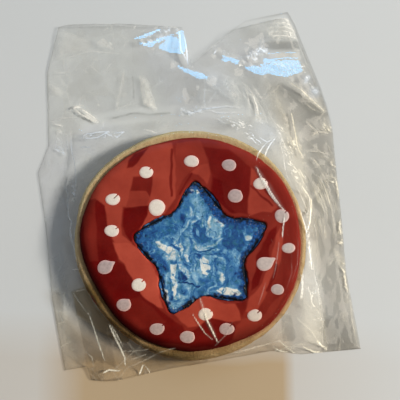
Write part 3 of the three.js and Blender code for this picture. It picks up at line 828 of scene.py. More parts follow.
def star_tone(plan):
    """How dark the marbling is, 0 cream to 1 navy: stripes and thin veins drawn out along bent lines, and
    the strokes laid over them in turn, each with a soft edge and worn through in places."""
    bend = wander(plan, 2.4, 61)
    ripple = wander(plan, 0.9, 65)
    bent = plan + 1.1 * bend + 0.55 * ripple
    drawn = (plan + 3.6 * bend + 0.8 * ripple) @ np.array([[1.0, 0.12], [-0.3, 0.28]])
    tone = 0.47 + 0.15 * layered_noise(plan, 4.5, 77) + 0.36 * layered_noise(drawn, 1.2, 78)
    for number, (level, width, line) in enumerate(STAR_WASHES + STAR_STROKES):
        if number == len(STAR_WASHES):
            tone = patched_tone(tone, plan + 0.5 * bend + 0.35 * ripple, drawn)
        width *= 1.18 if level < 0.09 else 1.0
        soft = 0.16 + 0.24 * width
        wear_and_highlight = 0.55 + 0.6 * noise(drawn, 0.9, 80 + number)
        away = distance_to_line(bent, line)
        if level < CREAM:
            tone += 0.4 * smoothstep(width / 2 + 1.2, width / 2 - 0.4, away) * (0.3 - tone)
        stroke = smoothstep(width / 2 + soft, width / 2 - soft, away)
        tone += np.clip(stroke * wear_and_highlight, 0, 1) * (level + 0.12 * layered_noise(drawn, 1.1, 81) - tone)
    for seed, level in STAR_VEINS:
        vein = smoothstep(0.07, 0.0, np.abs(layered_noise(plan + 2.4 * bend + 0.5 * ripple, 2.6, seed, 2)))
        tone += 0.5 * vein * smoothstep(0.35, 0.7, noise(plan, 3, seed + 1)) * (level - tone)
    return np.clip(tone + 0.07 * layered_noise(plan, 0.8, 79), 0, 1)


def star_piece():
    """Star of icing: rings shrink from its ragged outline to its middle, lumpy on top."""
    angle, out = circle(STAR_STEPS)
    reach = star_reach(angle)
    share = 1 - np.linspace(0, 1, STAR_RINGS, endpoint=False) ** 1.25
    top = STAR_MIDDLE + share[:, None, None] * reach[:, None] * out
    edge = distance_to_outline(top, star_outline())
    edge[0] = 0
    crown = ICING_TOP - STAR_SUNK - rounded_drop(edge, STAR_EDGE_ROUND) * 0.8
    lumps = 0.16 * layered_noise(top, 3.4, 41) + 0.06 * layered_noise(top, 1.1, 47)
    z = crown + lumps * smoothstep(0.2, 1.6, edge)
    feet = np.stack([STAR_MIDDLE + 0.1 * (top[0] - STAR_MIDDLE), top[0]])
    rings = np.concatenate([raised(feet, np.full((2, STAR_STEPS), ICING_BED)), raised(top, z)])
    wide = np.interp(np.degrees(angle), *zip(*STAR_BORDER), period=360) * (0.7 + 0.6 * noise(top, 1.2, 63))
    ragged = edge + 1.2 * layered_noise(top, 1.1, 64)
    border = smoothstep(wide + 0.7, wide - 0.3, ragged)
    black = smoothstep(1.1, 0.1, ragged + 0.8 * layered_noise(top, 1.6, 67))
    marks = {
        "tone": above_feet(star_tone(top), 0.5),
        "border": above_feet(border, 1),
        "black": above_feet(black, 1),
    }
    return ringed_solid("marbled_star", rings, marbled_star(), ["star_icing"], marks)


def dot_piece(node, material):
    """Dot of icing: an oval, drawn out to a tail or cut by a narrow slit, under a low flat dome."""
    low, high = corners_mm(node)
    seed = int(node[-2:])
    middle = (low[:2] + high[:2]) / 2
    half = (high[:2] - low[:2]) / 2
    angle, out = circle(DOT_STEPS)
    heading = math.radians(DOT_TAIL_HEADING + 10 * math.sin(3 * seed))
    off = (angle - heading + math.pi) % TURN - math.pi
    oval = 1 / np.hypot(np.cos(angle) / half[0], np.sin(angle) / half[1])
    ring = oval * (1 + 0.025 * np.cos(2 * angle + seed) + 0.02 * np.cos(3 * angle + 2 * seed))
    ring = ring + DOT_TAILS.get(node, 0.0) * np.exp(-np.abs(off / 0.26) ** 1.3)
    crown = np.linspace(1, 0.02, DOT_RINGS)[1:]
    share = np.concatenate([[0.2, 1, 1], crown])
    dome = DOT_RISE * (1 - crown**5)
    level = np.concatenate([[DOT_FLOOR, DOT_FLOOR, ICING_TOP - 0.08], ICING_TOP - 0.02 + dome])
    reach = share[:, None] * ring
    across = reach * np.sin(off)
    run_in = DOT_SLITS.get(node, 0.0)
    slit = smoothstep(1 - run_in - 0.12, 1 - run_in + 0.02, share[:, None]) * (np.cos(off) > 0) * (run_in > 0)
    slit = slit * smoothstep(SLIT_WIDTH * 0.75, SLIT_WIDTH * 0.25, np.abs(across))
    z = level[:, None] - SLIT_DEPTH * slit * (np.arange(len(share))[:, None] > 2)
    rings = raised(middle + reach[..., None] * out, z)
    # The dot is painted as lit as the icing just round it, on average.
    beside = middle + DOT_SURROUND * np.array([[1, 0], [-1, 0], [0, 1], [0, -1]])
    lit_patch = np.full(reach.shape, painted_icing_light(beside).mean())
    marks = {"edge": np.broadcast_to(share[:, None], reach.shape), "slit": slit, "lit_patch": lit_patch}
    return ringed_solid("white_" + node, rings, material, [node], marks)


# ---------------------------------------------------------------- light and eye

# The eye: its elevation in degrees, its distance and what it looks at in mm, and its lens.
CAMERA_ELEVATION = 79
CAMERA_DISTANCE = 380
CAMERA_TARGET = np.array([3.52, 15.9, 4.0])
CAMERA_LENS = 97.1

# Lights round the bag: heading and elevation in degrees, distance and size in mm, watts and colour.
Light = namedtuple("Light", "heading elevation distance size watts colour")
KEY = Light(2, 32, 2000, (380, 380), 51, (1, 0.97, 0.92))
WINDOW = Light(90, 45, 800, (300, 230), 3.1, (0.08, 0.52, 1))
WALL = Light(90, 30, 800, (300, 110), 0.16, (1, 0.66, 0.42))
GLOSS_LIGHTS = {
    "key_glow": Light(18, 38, 2000, (420, 420), 5.5, (1, 0.95, 0.84)),
    "window": WINDOW,
    "ceiling": Light(10, 70, 800, (420, 240), 1.0, (1, 0.9, 0.76)),
    "wall": WALL,
    "warm_side": Light(-40, 45, 800, (460, 420), 0.45, (1, 0.93, 0.8)),
}

# The room's light by the height it comes from, from the floor up, and by its side, from away from the
# window to towards it.
ROOM_HEADING = 68
ROOM_BY_HEIGHT = [
    (0.0, (0.5, 0.5, 0.5)),
    (0.4, (0.5, 0.5, 0.5)),
    (0.72, (0.34, 0.34, 0.34)),
    (0.9, (0.1, 0.1, 0.1)),
    (1.0, (0.05, 0.05, 0.05)),
]
ROOM_BY_SIDE = [(0.0, (0.17, 0.16, 0.155)), (0.45, (0.86, 0.94, 1.06)), (1.0, (1.62, 1.59, 1.52))]


def direction(heading, elevation):
    """Unit vector at a heading round the bag and an elevation above the table, in degrees."""
    turn, tilt = math.radians(heading), math.radians(elevation)
    return np.array([math.cos(turn) * math.cos(tilt), math.sin(turn) * math.cos(tilt), math.sin(tilt)])


EYE = CAMERA_TARGET + CAMERA_DISTANCE * direction(-90, CAMERA_ELEVATION)

# Facets that mirror a light are worked out as if they lay at this height.
FACET_HEIGHT = 4.0


def mirror_slope(plan, light):
    """Slope (rise towards +X, rise towards +Y) of a facet that mirrors a light to the eye: its normal
    halves the angle between the way to the eye and the way to the light."""
    place = raised(plan, np.full(plan.shape[:-1], FACET_HEIGHT))
    ways = [EYE - place, light.distance * direction(light.heading, light.elevation) - place]
    half = sum(way / np.linalg.norm(way, axis=-1, keepdims=True) for way in ways)
    return -half[..., :2] / half[..., 2:]


# ---------------------------------------------------------------- bag

# Edges in plan as (share of the way, distance): bottom to mouth at the sides, left to right across.
BAG_LEFT_X = [(0, -43.2), (0.2, -48.3), (0.4, -51.1), (0.56, -54.6), (0.64, -51), (0.86, -52.2), (1, -48.4)]
BAG_RIGHT_X = [
    (0, 59.2), (0.22, 54.8), (0.4, 53.5), (0.58, 51.7), (0.64, 51.3), (0.7, 49.8), (0.76, 47.5),
    (0.8, 45.7), (0.89, 41.5), (0.96, 38.4), (1, 35.8),
]
BAG_BOTTOM_Y = [
    (0, -43.3), (0.076, -42), (0.089, -46.6), (0.13, -47), (0.175, -46.9), (0.255, -45), (0.35, -42.8),
    (0.49, -40.5), (0.7, -36.6), (0.8, -37.8), (1, -35.9),
]
FRONT_MOUTH_Y = [(0, 81.2), (0.25, 81.7), (0.54, 80.8), (0.58, 66.2), (0.76, 79.4), (0.85, 81.5), (1, 84.6)]
BACK_MOUTH_Y = [(0, 81.3), (0.25, 81.8), (0.54, 80.8), (0.58, 67.2), (0.66, 74), (0.81, 83.6), (1, 87.2)]
NOTCH_FADE = 4
BAG_LENGTH = 125
FRONT_GRID = (280, 335)
BACK_GRID = (130, 150)

# The front film leaves the cookie's rim and comes down on these (heading, reach) places round it.
TENT_FOOT = [
    (0, 42.8), (12, 43.2), (25, 46), (38, 50), (50, 55), (60, 55), (75, 48.5), (90, 47.4), (105, 48.4),
    (120, 52), (134, 58), (150, 49), (165, 44.4), (180, 44), (195, 45), (205, 47), (215, 51), (229, 57),
    (240, 51), (252, 45.5), (270, 42.2), (290, 42), (308, 46), (321, 58), (333, 51), (346, 45),
]

# How high the front film lies over the cookie, where it leaves it and how steeply it may fall off the rim,
# how high it lies beside the cookie, lifts at the mouth and ends, and how high the back film lies.
TENT_TOP = 9.15
TENT_START = 37.8
STEEPEST = 1.7
FILM_LIE = 0.8
FILM_LIFT = 1.6
FILM_EDGE = 0.3
BACK_LIE = 0.12

# The front film's height map: its cells, how stiffly it is held to the chosen facets and elsewhere, and
# how many rounds it is settled for.
MAP_CELL = 0.34
MAP_ROUNDS = 260
FACET_PULL = 40
SLACK_PULL = 0.6
MAP_X = np.arange(-58, 62, MAP_CELL)
MAP_Y = np.arange(-50, 92, MAP_CELL)
MAP = np.stack(np.meshgrid(MAP_X, MAP_Y), -1)

# Flat facets of the front film by what they mirror, each with its corners.
FACETS = [
    (WINDOW, [(-11.0, 73.6), (-8.9, 75.9), (-3.8, 76.3), (-2.7, 69.8), (-6.6, 70.2), (-11.0, 71.7)]),
    (WINDOW, [(-4.1, 79.7), (-2.0, 79.7), (-1.6, 71.7), (-2.7, 69.4), (-3.4, 73.6)]),
    (WINDOW, [(-20.5, 75.9), (-11.1, 80.5), (-10.3, 79.7), (-18.3, 75.5)]),
    (WINDOW, [(-16.1, 72.9), (-12.9, 75.5), (-5.2, 79.0), (-6.3, 77.4), (-11.8, 74.4)]),
    (WINDOW, [(-20.5, 75.1), (-18.3, 75.1), (-13.2, 73.2), (-13.9, 72.3), (-18.3, 73.6)]),
    (WINDOW, [(-4.8, 67.2), (-2.3, 65.6), (0.3, 64.9), (4.5, 63.5), (6.5, 60.8), (2.5, 60.5),
              (-1.5, 63.4)]),
    (WINDOW, [(11.1, 70.6), (13.0, 69.8), (17.7, 68.3), (17.3, 65.6), (15.1, 67.2), (12.2, 69.1)]),
    (WINDOW, [(19.5, 66.0), (23.8, 66.4), (27.1, 64.9), (26.7, 61.9), (23.4, 63.0)]),
    (WINDOW, [(27.3, 65.9), (31.3, 68.2), (36.9, 68.5), (41.9, 67.8), (42.5, 65.5), (40.2, 63.1),
              (34.6, 61.1), (29.6, 62)]),
    (WINDOW, [(27.1, 66.4), (29.7, 71.3), (31.1, 67.9)]),
    (WALL, [(28.2, 71.7), (39.9, 71.7), (39.8, 68.7), (28.2, 68.7)]),
]

# Where the film is folded over or lies in layers it looks greyer, and over the cookie's shadow at the
# lower left it is greyed as painted shadow: how grey, how soft, and the corners.
GREY_LAYERS_AND_SHADOWS = [
    (0.45, 0.6, [(26, 74.5), (29, 75.5), (39.5, 75.5), (40, 73), (36.5, 72.5), (30, 72.5), (26.5, 73)]),
    (0.16, 2, [(17, 80.5), (22, 81), (26, 78), (27.5, 74.5), (23.5, 74.5), (20, 77.5)]),
    (0.25, 1.5, [(29.5, 59), (34.5, 58), (39.5, 55.5), (44, 52.5), (48.5, 48.5), (46, 48.5),
                 (39.5, 51.5), (31.5, 55.5)]),
    (0.25, 2, [(41, 51.5), (46, 49.5), (47.5, 48.5), (44, 45), (40.5, 45.5)]),
    (0.12, 2, [(41.5, 45), (46, 44), (50, 41), (51, 34), (41.5, 33.5)]),
    (0.16, 2, [(41.5, 32.5), (45.5, 31), (48, 24.5), (52, 20), (52, 15), (45, 11.5), (42.5, 18)]),
    (0.1, 2, [(46.5, 11.5), (53, 15), (53.5, 8), (53, -1.5), (47.5, -6)]),
    (0.14, 2, [(42.5, 3), (48, 0), (51, -6), (53.5, -15.5), (54.5, -24.5), (46.5, -26), (43.5, -12.5)]),
    (0.42, 1.2, [(46.5, -25.5), (55.5, -24.5), (58, -34.5), (55.5, -36.5), (47.5, -36.5), (46, -31.5)]),
    (0.45, 0.35, [(31, -24.5), (34.5, -25), (36.5, -32), (35.5, -33.5), (32, -33.5), (31.5, -29.5)]),
    (0.2, 1, [(-46.5, -24), (-45, -30), (-43.5, -43), (-35.5, -42.5), (-37.5, -31), (-39.5, -25)]),
    # Painted shadow: these two grey the film over the cookie's deepest shadow at the lower left.
    (0.55, 0.4, [(-38.4, -25.4), (-34.5, -27.5), (-32.1, -29.6), (-26.5, -32.3), (-26.5, -36),
                 (-25.8, -40), (-24.6, -43.2), (-28.1, -41.2), (-31.9, -39.8), (-33.2, -41),
                 (-35, -39.1), (-36.4, -34.7)]),
    (0.55, 0.4, [(-38.4, -25.4), (-34.5, -27.5), (-32.1, -29.6), (-28.2, -31.6), (-28.6, -36),
                 (-29.8, -41.5), (-31.9, -39.8), (-33.2, -41), (-35, -39.1), (-36.4, -34.7)]),
    (0.4, 0.4, [(-34.2, -41.9), (-29.8, -41.9), (-29.4, -43.9), (-29.7, -46.6), (-32.8, -47.3),
                (-34.1, -46.6)]),
    (0.3, 1.5, [(-15.5, -35.5), (3.5, -37.5), (5.5, -40), (-15.5, -44)]),
    (0.06, 1, [(-47.5, 81), (-29.5, 81.5), (-9.5, 80.5), (-12, 79.5), (-33, 79.5), (-45.5, 79.5)]),
    (0.03, 4, [(-40, 66), (-22, 70), (-9, 67.5), (-18, 49.5), (-29, 46.5), (-39, 53)]),
    (0.1, 3, [(-16.5, 64.5), (-4, 67.5), (3.5, 60.5), (5.5, 51.5), (0, 48.5), (-11, 49.5), (-14, 56)]),
    (0.1, 1, [(-31, 46.5), (-23.5, 48.5), (-14.5, 48.5), (3.5, 48.5), (0, 47), (-14.5, 47), (-29, 45.5)]),
    (0.28, 2, [(42, 50), (50, 48), (53, 20), (55, -20), (58, -36), (47, -36), (46, -20), (44.5, 5),
               (42.5, 30)]),
    (0.2, 4, [(20, 66), (42, 60), (48, 50), (42, 42), (28, 44), (22, 56)]),
    (0.12, 3, [(0, 62), (17, 60), (19, 51), (5, 50), (-2, 50)]),
    (0.09, 2, [(-16, 47.5), (5, 48.5), (20, 47.5), (25, 43), (14, 40.5), (0, 42), (-14, 41)]),
    (0.08, 0.4, [(-41, 80.5), (-26.4, 81), (-21, 80.5), (-30.4, 77.7), (-33.7, 76.6), (-38.4, 77.7)]),
]

# Where the film over the cookie's deepest shadow and the closed corner is painted brown, as painted shade.
BROWN_SHADOW_CORNER = [(-41, -16.4), (-35.5, -15), (-32.2, -22), (-28.3, -26.1), (-23.4, -29.9), (-20.5, -32.3),
                (-20.5, -34.3), (-24.1, -34), (-28.2, -32.4), (-32.1, -29.6), (-36.6, -26.1),
                (-39, -24.4)]

# Patches painted pale as glare and highlights on the film, in the same way.
PALE_PATCHES = [
    (0.22, 1, [(-52.5, 60), (-50, 59.5), (-45.5, 56), (-47, 55), (-50.5, 55.5)]),
    (0.16, 1, [(-31.5, 76), (-30, 73.5), (-28, 72), (-32, 73.5), (-34, 73.5)]),
    (0.25, 0.6, [(-17, 62), (-15.5, 60.5), (-14, 56), (-12, 50), (-15, 50.5), (-17.5, 52), (-16, 55)]),
    (0.15, 1, [(-36.5, 34.5), (-34, 34), (-34.5, 28.5), (-37, 31)]),
    (0.12, 2, [(-27.5, 56), (-24, 56.5), (-22.5, 54), (-27, 54.5)]),
    (0.3, 0.8, [(21.5, 71), (24, 72.5), (27, 74), (27, 71.5), (24, 70)]),
    (0.28, 0.8, [(23.5, 50), (25, 49.5), (26, 44), (23.5, 45)]),
    (0.3, 1.2, [(32, 85.5), (36, 86), (39, 76.5), (34, 76), (28.5, 76.5), (29, 82)]),
    (0.16, 2, [(20.5, 82), (29, 84.5), (30, 79.5), (26, 78)]),
    (0.14, 2, [(-10.5, 43.5), (-7, 43.5), (-6.5, 41), (-11.5, 40.5)]),
    (0.2, 1, [(50.5, -1), (54.5, -4.5), (54.5, -8.5), (52, -6)]),
    (0.22, 2, [(-0.1, 64.1), (6.4, 63.8), (14, 61.9), (15.8, 60.4), (16.5, 51.7), (12.9, 54.7),
               (7.9, 58.5)]),
    (0.1, 2, [(40.5, 3), (46, 2), (46.5, -20), (47, -34), (38, -34), (38, -12)]),
    (0.25, 1.5, [(28.2, 71.7), (39.9, 71.7), (39.8, 68.7), (28.2, 68.7)]),
    (0.15, 1.2, [(42.5, 1.5), (44.5, 0), (46, -19), (47.5, -35), (40, -34.5), (39, -19.5), (39, -9.5)]),
    (0.14, 2, [(26, 62), (31, 58), (37, 44), (41, 30), (42, 8), (40, 14), (34, 26), (26, 36), (20, 48)]),
    (0.2, 0.3, [(-31.7, 76.6), (-27.6, 71.9), (-34.2, 74.4)]),
    (0.13, 0.4, [(-47.5, 79.8), (-44.8, 78.4), (-36.3, 74), (-35, 73), (-44.9, 70.5), (-50.3, 67.5),
                 (-49.7, 74.1)]),
    (0.22, 0.3, [(-18.7, 62.7), (-15.4, 60.6), (-11.9, 48.9), (-16.6, 51.7), (-18, 57.1)]),
    (0.15, 0.3, [(-42.4, 50.5), (-40, 50.2), (-36.5, 47.7), (-32.8, 45), (-35.5, 45.5), (-39.5, 47.9)]),
    (0.9, 0.3, [(-38.2, 48.5), (-36.2, 47.6), (-33, 45.2), (-34.6, 45.1), (-37.4, 46.8)]),
    (0.35, 0.4, [(41.2, 60.8), (41.8, 62), (43.2, 62.6), (43.6, 61.7), (42.3, 59.4), (41.3, 59.2)]),
    (0.35, 0.4, [(43.8, 56.8), (45.6, 57.7), (46.7, 56.8), (45.8, 55.6), (44.2, 55.9)]),
    (0.12, 0.4, [(-48, -22.4), (-43, -43), (-35.4, -42), (-38.9, -23.7)]),
]

# Patches broken into small glints: how many, and the corners.
GLINTS = [
    (0.35, [(32.5, 80), (36.5, 84.5), (39.5, 76.5), (34, 75.5), (29, 76.5)]),
    (1.0, [(20.5, 70), (24, 73), (27.5, 74.5), (28.5, 72), (24.5, 70), (24, 67.5), (21.5, 67.5)]),
    (0.7, [(15, 71), (18, 69.5), (21.5, 67), (26, 66), (26, 63.5), (21.5, 65), (18, 67), (13.5, 69),
           (11, 71.5)]),
    (0.9, [(10.5, 48.5), (15, 46), (20, 45.5), (22.5, 43.5), (24, 38), (25.5, 35), (22.5, 36),
           (19, 39.5), (15, 42.5)]),
    (0.6, [(30.5, 45), (33.5, 43.5), (36.5, 34.5), (39, 23), (36.5, 22), (33.5, 33)]),
    (1.0, [(36, 40), (38.5, 40), (40.5, 32.5), (39.5, 31.5), (37, 35.5)]),
    (0.8, [(49, 45.5), (50.5, 45), (51.5, 42), (47.5, 41), (44, 40.5), (46.5, 42.5)]),
    (1.0, [(50.5, 31), (52, 31.5), (52.5, 28), (51, 27.5)]),
    (0.8, [(48.5, 26), (52, 25), (53.5, 20.5), (51, 21.5)]),
    (0.9, [(52.5, 9), (53.5, 9), (54, 0.5), (52.5, 1)]),
    (0.8, [(53.5, -6), (54.5, -6), (55, -18.5), (53.5, -15.5)]),
    (0.5, [(39.5, 14), (41.5, 9.5), (42.5, -2), (43.5, -8.5), (41.5, -8.5), (40.2, 1)]),
    (0.7, [(42, -16), (44, -15.5), (44, -22.5), (42, -22)]),
    (0.6, [(-3.5, 50), (5, 51.5), (5.5, 49.5), (0, 47.5), (-3.5, 48)]),
    (0.7, [(-42, 21.5), (-40, 20.5), (-40.5, 15.5), (-41.5, 16)]),
    (1.0, [(46, -34), (48, -34.5), (47.5, -36.5), (45.5, -35)]),
    (0.7, [(-53, 60), (-52, 60), (-51.5, 56), (-52.5, 56)]),
    (0.5, [(-42.5, 50.3), (-40.4, 50.6), (-36, 47.7), (-33.1, 45.4), (-36.7, 45.8), (-39.6, 48)]),
    (0.8, [(-20.5, 76.5), (-10, 80.6), (-4, 79.8), (-11, 75.5), (-18, 73)]),
    (0.7, [(-39, 38.4), (-37.3, 40.6), (-29, 41.2), (-23.5, 41), (-24, 38.5), (-32.9, 38.4)]),
    (0.6, [(28, 66), (33, 68), (42, 67), (41, 63.5), (33, 62)]),
    (0.6, [(-48, 42), (-46, 42.5), (-45, 33), (-48, 34)]),
]

# Folds painted pale as highlights, with painted glints along their cores: how pale, how wide in mm, and
# the line they follow.
PALE_FOLDS = [
    (0.28, 1.0, [(26, 54), (29.5, 46.5), (32.5, 39), (35.5, 31.5), (38, 24.5), (40, 19.5)]),
    (0.24, 0.8, [(29, 58.5), (32.5, 51.5), (35, 45), (36, 40)]),
    (0.3, 0.6, [(31.1, 42.9), (32, 37.1), (33.2, 31.4), (33.4, 27.8), (34.3, 23.1), (36.3, 19)]),
    (0.9, 0.5, [(36.5, 48.5), (37.5, 42.5), (38.5, 36), (40.5, 31.5)]),
    (0.15, 0.4, [(40.5, 31), (39.5, 26), (40, 20)]),
    (0.8, 0.45, [(39.7, 21.2), (41.6, 18.7), (43, 16.6), (42.9, 13), (42.2, 8.4), (40.9, 4.3)]),
    (0.3, 0.4, [(42, 1.5), (43, -6), (44.5, -15.5), (46, -26), (47.5, -35.5)]),
    (0.9, 0.4, [(41.2, 1.8), (41.6, -1.7), (42.1, -5.1), (42.6, -8.6)]),
    (0.5, 0.3, [(38.2, -11), (39, -15.5), (38.6, -19.5)]),
    (0.5, 0.3, [(41, -14.8), (42.1, -18.2), (42.3, -21.6)]),
    (0.5, 0.3, [(38.1, 11.6), (39.3, 8.1), (40.4, 4.5), (41.1, 1.5)]),
    (0.7, 0.35, [(52.8, -7.1), (54.3, -9.4), (54.5, -12.9), (55.2, -16.3)]),
    (0.6, 0.35, [(51.5, 25.1), (52.2, 23), (52.8, 19.4), (52.8, 16.8)]),
    (0.7, 0.35, [(53.2, 9.6), (52.9, 6), (53.6, 3.5)]),
    (1.0, 0.45, [(39.3, -35.3), (40.8, -36.1), (43.1, -37), (45.9, -37.1)]),
    (1.0, 0.4, [(44, -33.3), (45.9, -35), (47.5, -35.6)]),
    (0.45, 0.3, [(33, 83.4), (35.5, 83.9), (37, 83.2)]),
    (0.5, 0.3, [(32.2, 81.8), (35, 82.3), (37.6, 81.5)]),
    (0.5, 0.3, [(31.2, 80.2), (35, 80.6), (38.2, 79.8)]),
    (0.6, 0.3, [(30.2, 78.7), (34, 79.1), (38.6, 78.2)]),
    (0.7, 0.3, [(29.4, 77.2), (34, 77.4), (39, 76.7)]),
    (0.8, 0.4, [(-42, 50.1), (-39.7, 48.2), (-36.3, 46.2), (-33.6, 44.8)]),
    (0.9, 0.4, [(-42, 50.5), (-39.6, 50.2), (-36.7, 48.2), (-34.2, 46.4), (-32.9, 45.2)]),
    (0.6, 0.4, [(-43.3, 49.9), (-41.4, 50.8), (-38.4, 51.2)]),
    (0.4, 0.4, [(20, 58.5), (21, 54), (21.5, 49.5)]),
    (0.22, 0.4, [(15, 60.5), (17.5, 57), (19.5, 53)]),
    (0.2, 0.4, [(12.5, 59), (15, 54.5), (18, 51.5)]),
    (0.35, 0.8, [(18.5, 60.5), (22.5, 56), (26, 50), (28, 44)]),
    (0.3, 0.4, [(5.5, 59), (5, 53), (5.5, 50)]),
    (0.5, 0.4, [(-3.5, 48.5), (0.5, 48.5), (5, 50), (8.5, 50.5), (13.5, 51), (18.5, 50.5)]),
    (0.25, 0.4, [(5.5, 50), (10.5, 48.5), (14.5, 48.5), (18.5, 49)]),
    (0.45, 0.5, [(-43, 42), (-42.5, 34.5), (-41, 29), (-40.5, 23.5), (-41, 17)]),
    (0.2, 0.4, [(-47.5, 42.5), (-48, 38.5), (-48.5, 34.5)]),
    (0.2, 0.4, [(-45, 42), (-44, 38.5), (-44, 34.5)]),
    (0.32, 0.9, [(-44, 22), (-43.5, 16.5), (-43, 10.5), (-41.5, 8), (-42, 4.5), (-40.5, -0.5), (-39, -6),
                 (-37.5, -9)]),
    (0.3, 0.4, [(-41, -9), (-37.5, -9)]),
    (0.35, 0.35, [(-40.6, -16.7), (-38.6, -19.5), (-34.8, -24.6)]),
    (0.9, 0.35, [(-34.7, -24), (-32.9, -29), (-31, -34.7), (-29.2, -40)]),
    (0.3, 0.4, [(-40.5, -16.5), (-35, -16)]),
    (0.95, 0.35, [(-27.5, -28.1), (-25.2, -32.8), (-23.3, -36.6), (-22.2, -39.1), (-22.1, -42)]),
    (0.5, 0.3, [(-26.8, -28.2), (-24.6, -31.8), (-22.6, -35.8)]),
    (0.3, 0.4, [(-22.5, -37), (-19, -37), (-13.5, -36.5)]),
    (0.2, 0.4, [(-24.5, -46), (-21.5, -42.5), (-16.5, -40.5), (-10, -37.5), (-4.5, -36)]),
    (0.3, 0.4, [(-20.5, -40), (-14.5, -38)]),
    (0.9, 0.35, [(-29.8, -44.2), (-27.8, -43.2), (-24, -43.5)]),
    (0.9, 0.35, [(-17.4, -44.7), (-16.6, -43), (-16, -41.4)]),
    (0.4, 0.4, [(-15.5, -41.5), (-14, -43.5), (-13.5, -45)]),
    (0.3, 0.4, [(-36.5, -36.5), (-33.5, -39), (-33, -42)]),
    (0.8, 0.4, [(30.6, -33.4), (33.4, -35.3), (36.3, -37.4)]),
    (0.7, 0.35, [(28.7, -35.1), (31.2, -36.7), (34, -37)]),
    (0.35, 0.4, [(15.5, -37.5), (24.5, -35), (32.5, -33)]),
    (0.3, 0.4, [(20.5, -39), (38, -34.5), (45.5, -33.5)]),
    (0.3, 0.5, [(36.5, -25.5), (41.5, -29.5), (45.5, -35)]),
    (0.5, 0.4, [(39, -9), (39, -14), (38, -19.5)]),
    (0.3, 0.4, [(44.5, -15.5), (45.5, -19), (46.5, -23.5)]),
    (0.25, 0.4, [(56, -19), (56.5, -26), (58, -34.5)]),
    (0.3, 0.4, [(44, 41), (46, 41.5), (51, 41)]),
    (0.25, 0.4, [(41.5, 34.5), (46.5, 34), (51, 33)]),
    (0.25, 0.4, [(47, 26), (51, 24.5)]),
    (0.25, 0.5, [(41.5, 45.5), (46, 41)]),
    (0.25, 0.5, [(40.5, 53), (44, 50), (47.5, 48.5)]),
    (0.2, 0.4, [(46, 45.5), (48, 48.5), (49, 51.5)]),
    (0.2, 0.4, [(-38, 47), (-46, 46.5), (-50.5, 45.5)]),
    (0.16, 0.4, [(-31, 46.5), (-31.5, 42.5), (-30.5, 42)]),
    (0.16, 0.4, [(-47.5, 68), (-36.5, 71.5), (-22, 70)]),
    (0.2, 0.4, [(-47.5, 80), (-45.5, 78.5), (-39.5, 76), (-36, 74.5)]),
    (0.2, 0.4, [(29, 68), (27.5, 64.5), (26, 60.5)]),
    (1.0, 0.5, [(-2.3, 79.4), (-1.6, 73.6), (-0.8, 66.0)]),
    (0.2, 2.4, [(23.1, 26.6), (25.3, 22.8), (26.8, 20.7), (28.6, 17.4), (30.7, 14.1), (32.9, 11.2)]),
    (0.75, 0.3, [(23.4, 26.5), (24.2, 24.2), (26, 21.6), (28.4, 17), (30.8, 13.7), (32.5, 11.6)]),
    (0.4, 0.3, [(23.6, 25.2), (25.4, 21.3), (27.7, 17.2), (29.9, 13.9), (32.2, 11.6)]),
    (0.3, 0.3, [(25.2, 22.1), (27, 19.1), (28.9, 15.8), (31.1, 13)]),
    (0.12, 0.3, [(30.9, 0.9), (30.3, -3.6), (29.5, -8.7), (28.5, -12.7)]),
    (0.05, 0.4, [(37.5, 1), (37, -7.5), (35, -13.5)]),
    (0.1, 0.3, [(26, -13.8), (24.8, -17.7), (23.4, -21.6)]),
    (0.05, 0.4, [(35, -3.5), (35, -10.5), (33, -16.5)]),
    (0.1, 0.4, [(14.5, -27.5), (12.5, -31.5), (8.5, -35.5)]),
    (0.25, 0.4, [(3.5, 62), (9, 58.5), (17, 51.5)]),
    (0.25, 0.4, [(11.5, 60.5), (15, 56), (17, 51.5)]),
    (0.25, 0.4, [(15, 59), (17.5, 55), (17.5, 51.5)]),
    (0.5, 0.4, [(8.5, 70), (9.5, 72)]),
    (0.5, 0.5, [(11, 71.5), (13.5, 69.5), (18, 69)]),
    (0.9, 0.5, [(-4, 79.5), (-3.5, 72), (-1.5, 68)]),
    (0.6, 0.3, [(32.9, 10), (32.5, 6.9), (32.1, 3.9), (31.9, 1.2)]),
    (0.6, 0.3, [(30.2, 38.1), (28.5, 35.9), (27, 33), (26.2, 30.1)]),
    (0.5, 0.3, [(26.9, 36.1), (25.3, 33.8), (23.7, 30.9), (23.3, 28.9)]),
    (0.5, 0.3, [(24.5, 38.1), (26.3, 37.2), (27.4, 36.6), (29.3, 37.7)]),
    (0.25, 1.6, [(3.5, -19.2), (4.9, -23.6), (5.9, -26.7), (7.9, -30.7), (9.5, -34.1)]),
    (0.3, 0.35, [(3.5, -19.2), (4.6, -22.6)]),
    (0.8, 0.35, [(4.6, -22.6), (5.9, -26.7), (7.9, -30.7), (9.5, -34.1)]),
    (0.45, 0.3, [(0.9, -24.5), (2.8, -27.6), (5.2, -31.1), (7.9, -33.4)]),
    (0.35, 3.2, [(33.9, 60.7), (38.2, 58.5), (42.8, 54), (48.1, 49.5)]),
    (0.7, 0.6, [(36, 59.4), (40.2, 56.9), (44.8, 52.6), (48.1, 49.5)]),
    (0.9, 0.5, [(22.3, 55.5), (24, 51.4), (24.7, 47.7)]),
    (0.6, 0.4, [(-39, 38.8), (-37.3, 40.2), (-33, 41), (-29.1, 41), (-32.9, 38.8), (-36.5, 38.4),
                (-39, 38.8)]),
    (0.6, 0.4, [(-27.6, 40.2), (-23.7, 40.6), (-26.5, 38)]),
    (0.6, 0.4, [(-16.5, 41.4), (-13.7, 40.6), (-11.5, 39.1), (-14.4, 38.8)]),
    (0.5, 0.4, [(-39.5, 35.5), (-35.2, 35)]),
    (0.5, 0.4, [(-49.5, 44.5), (-45.5, 43.5)]),
]

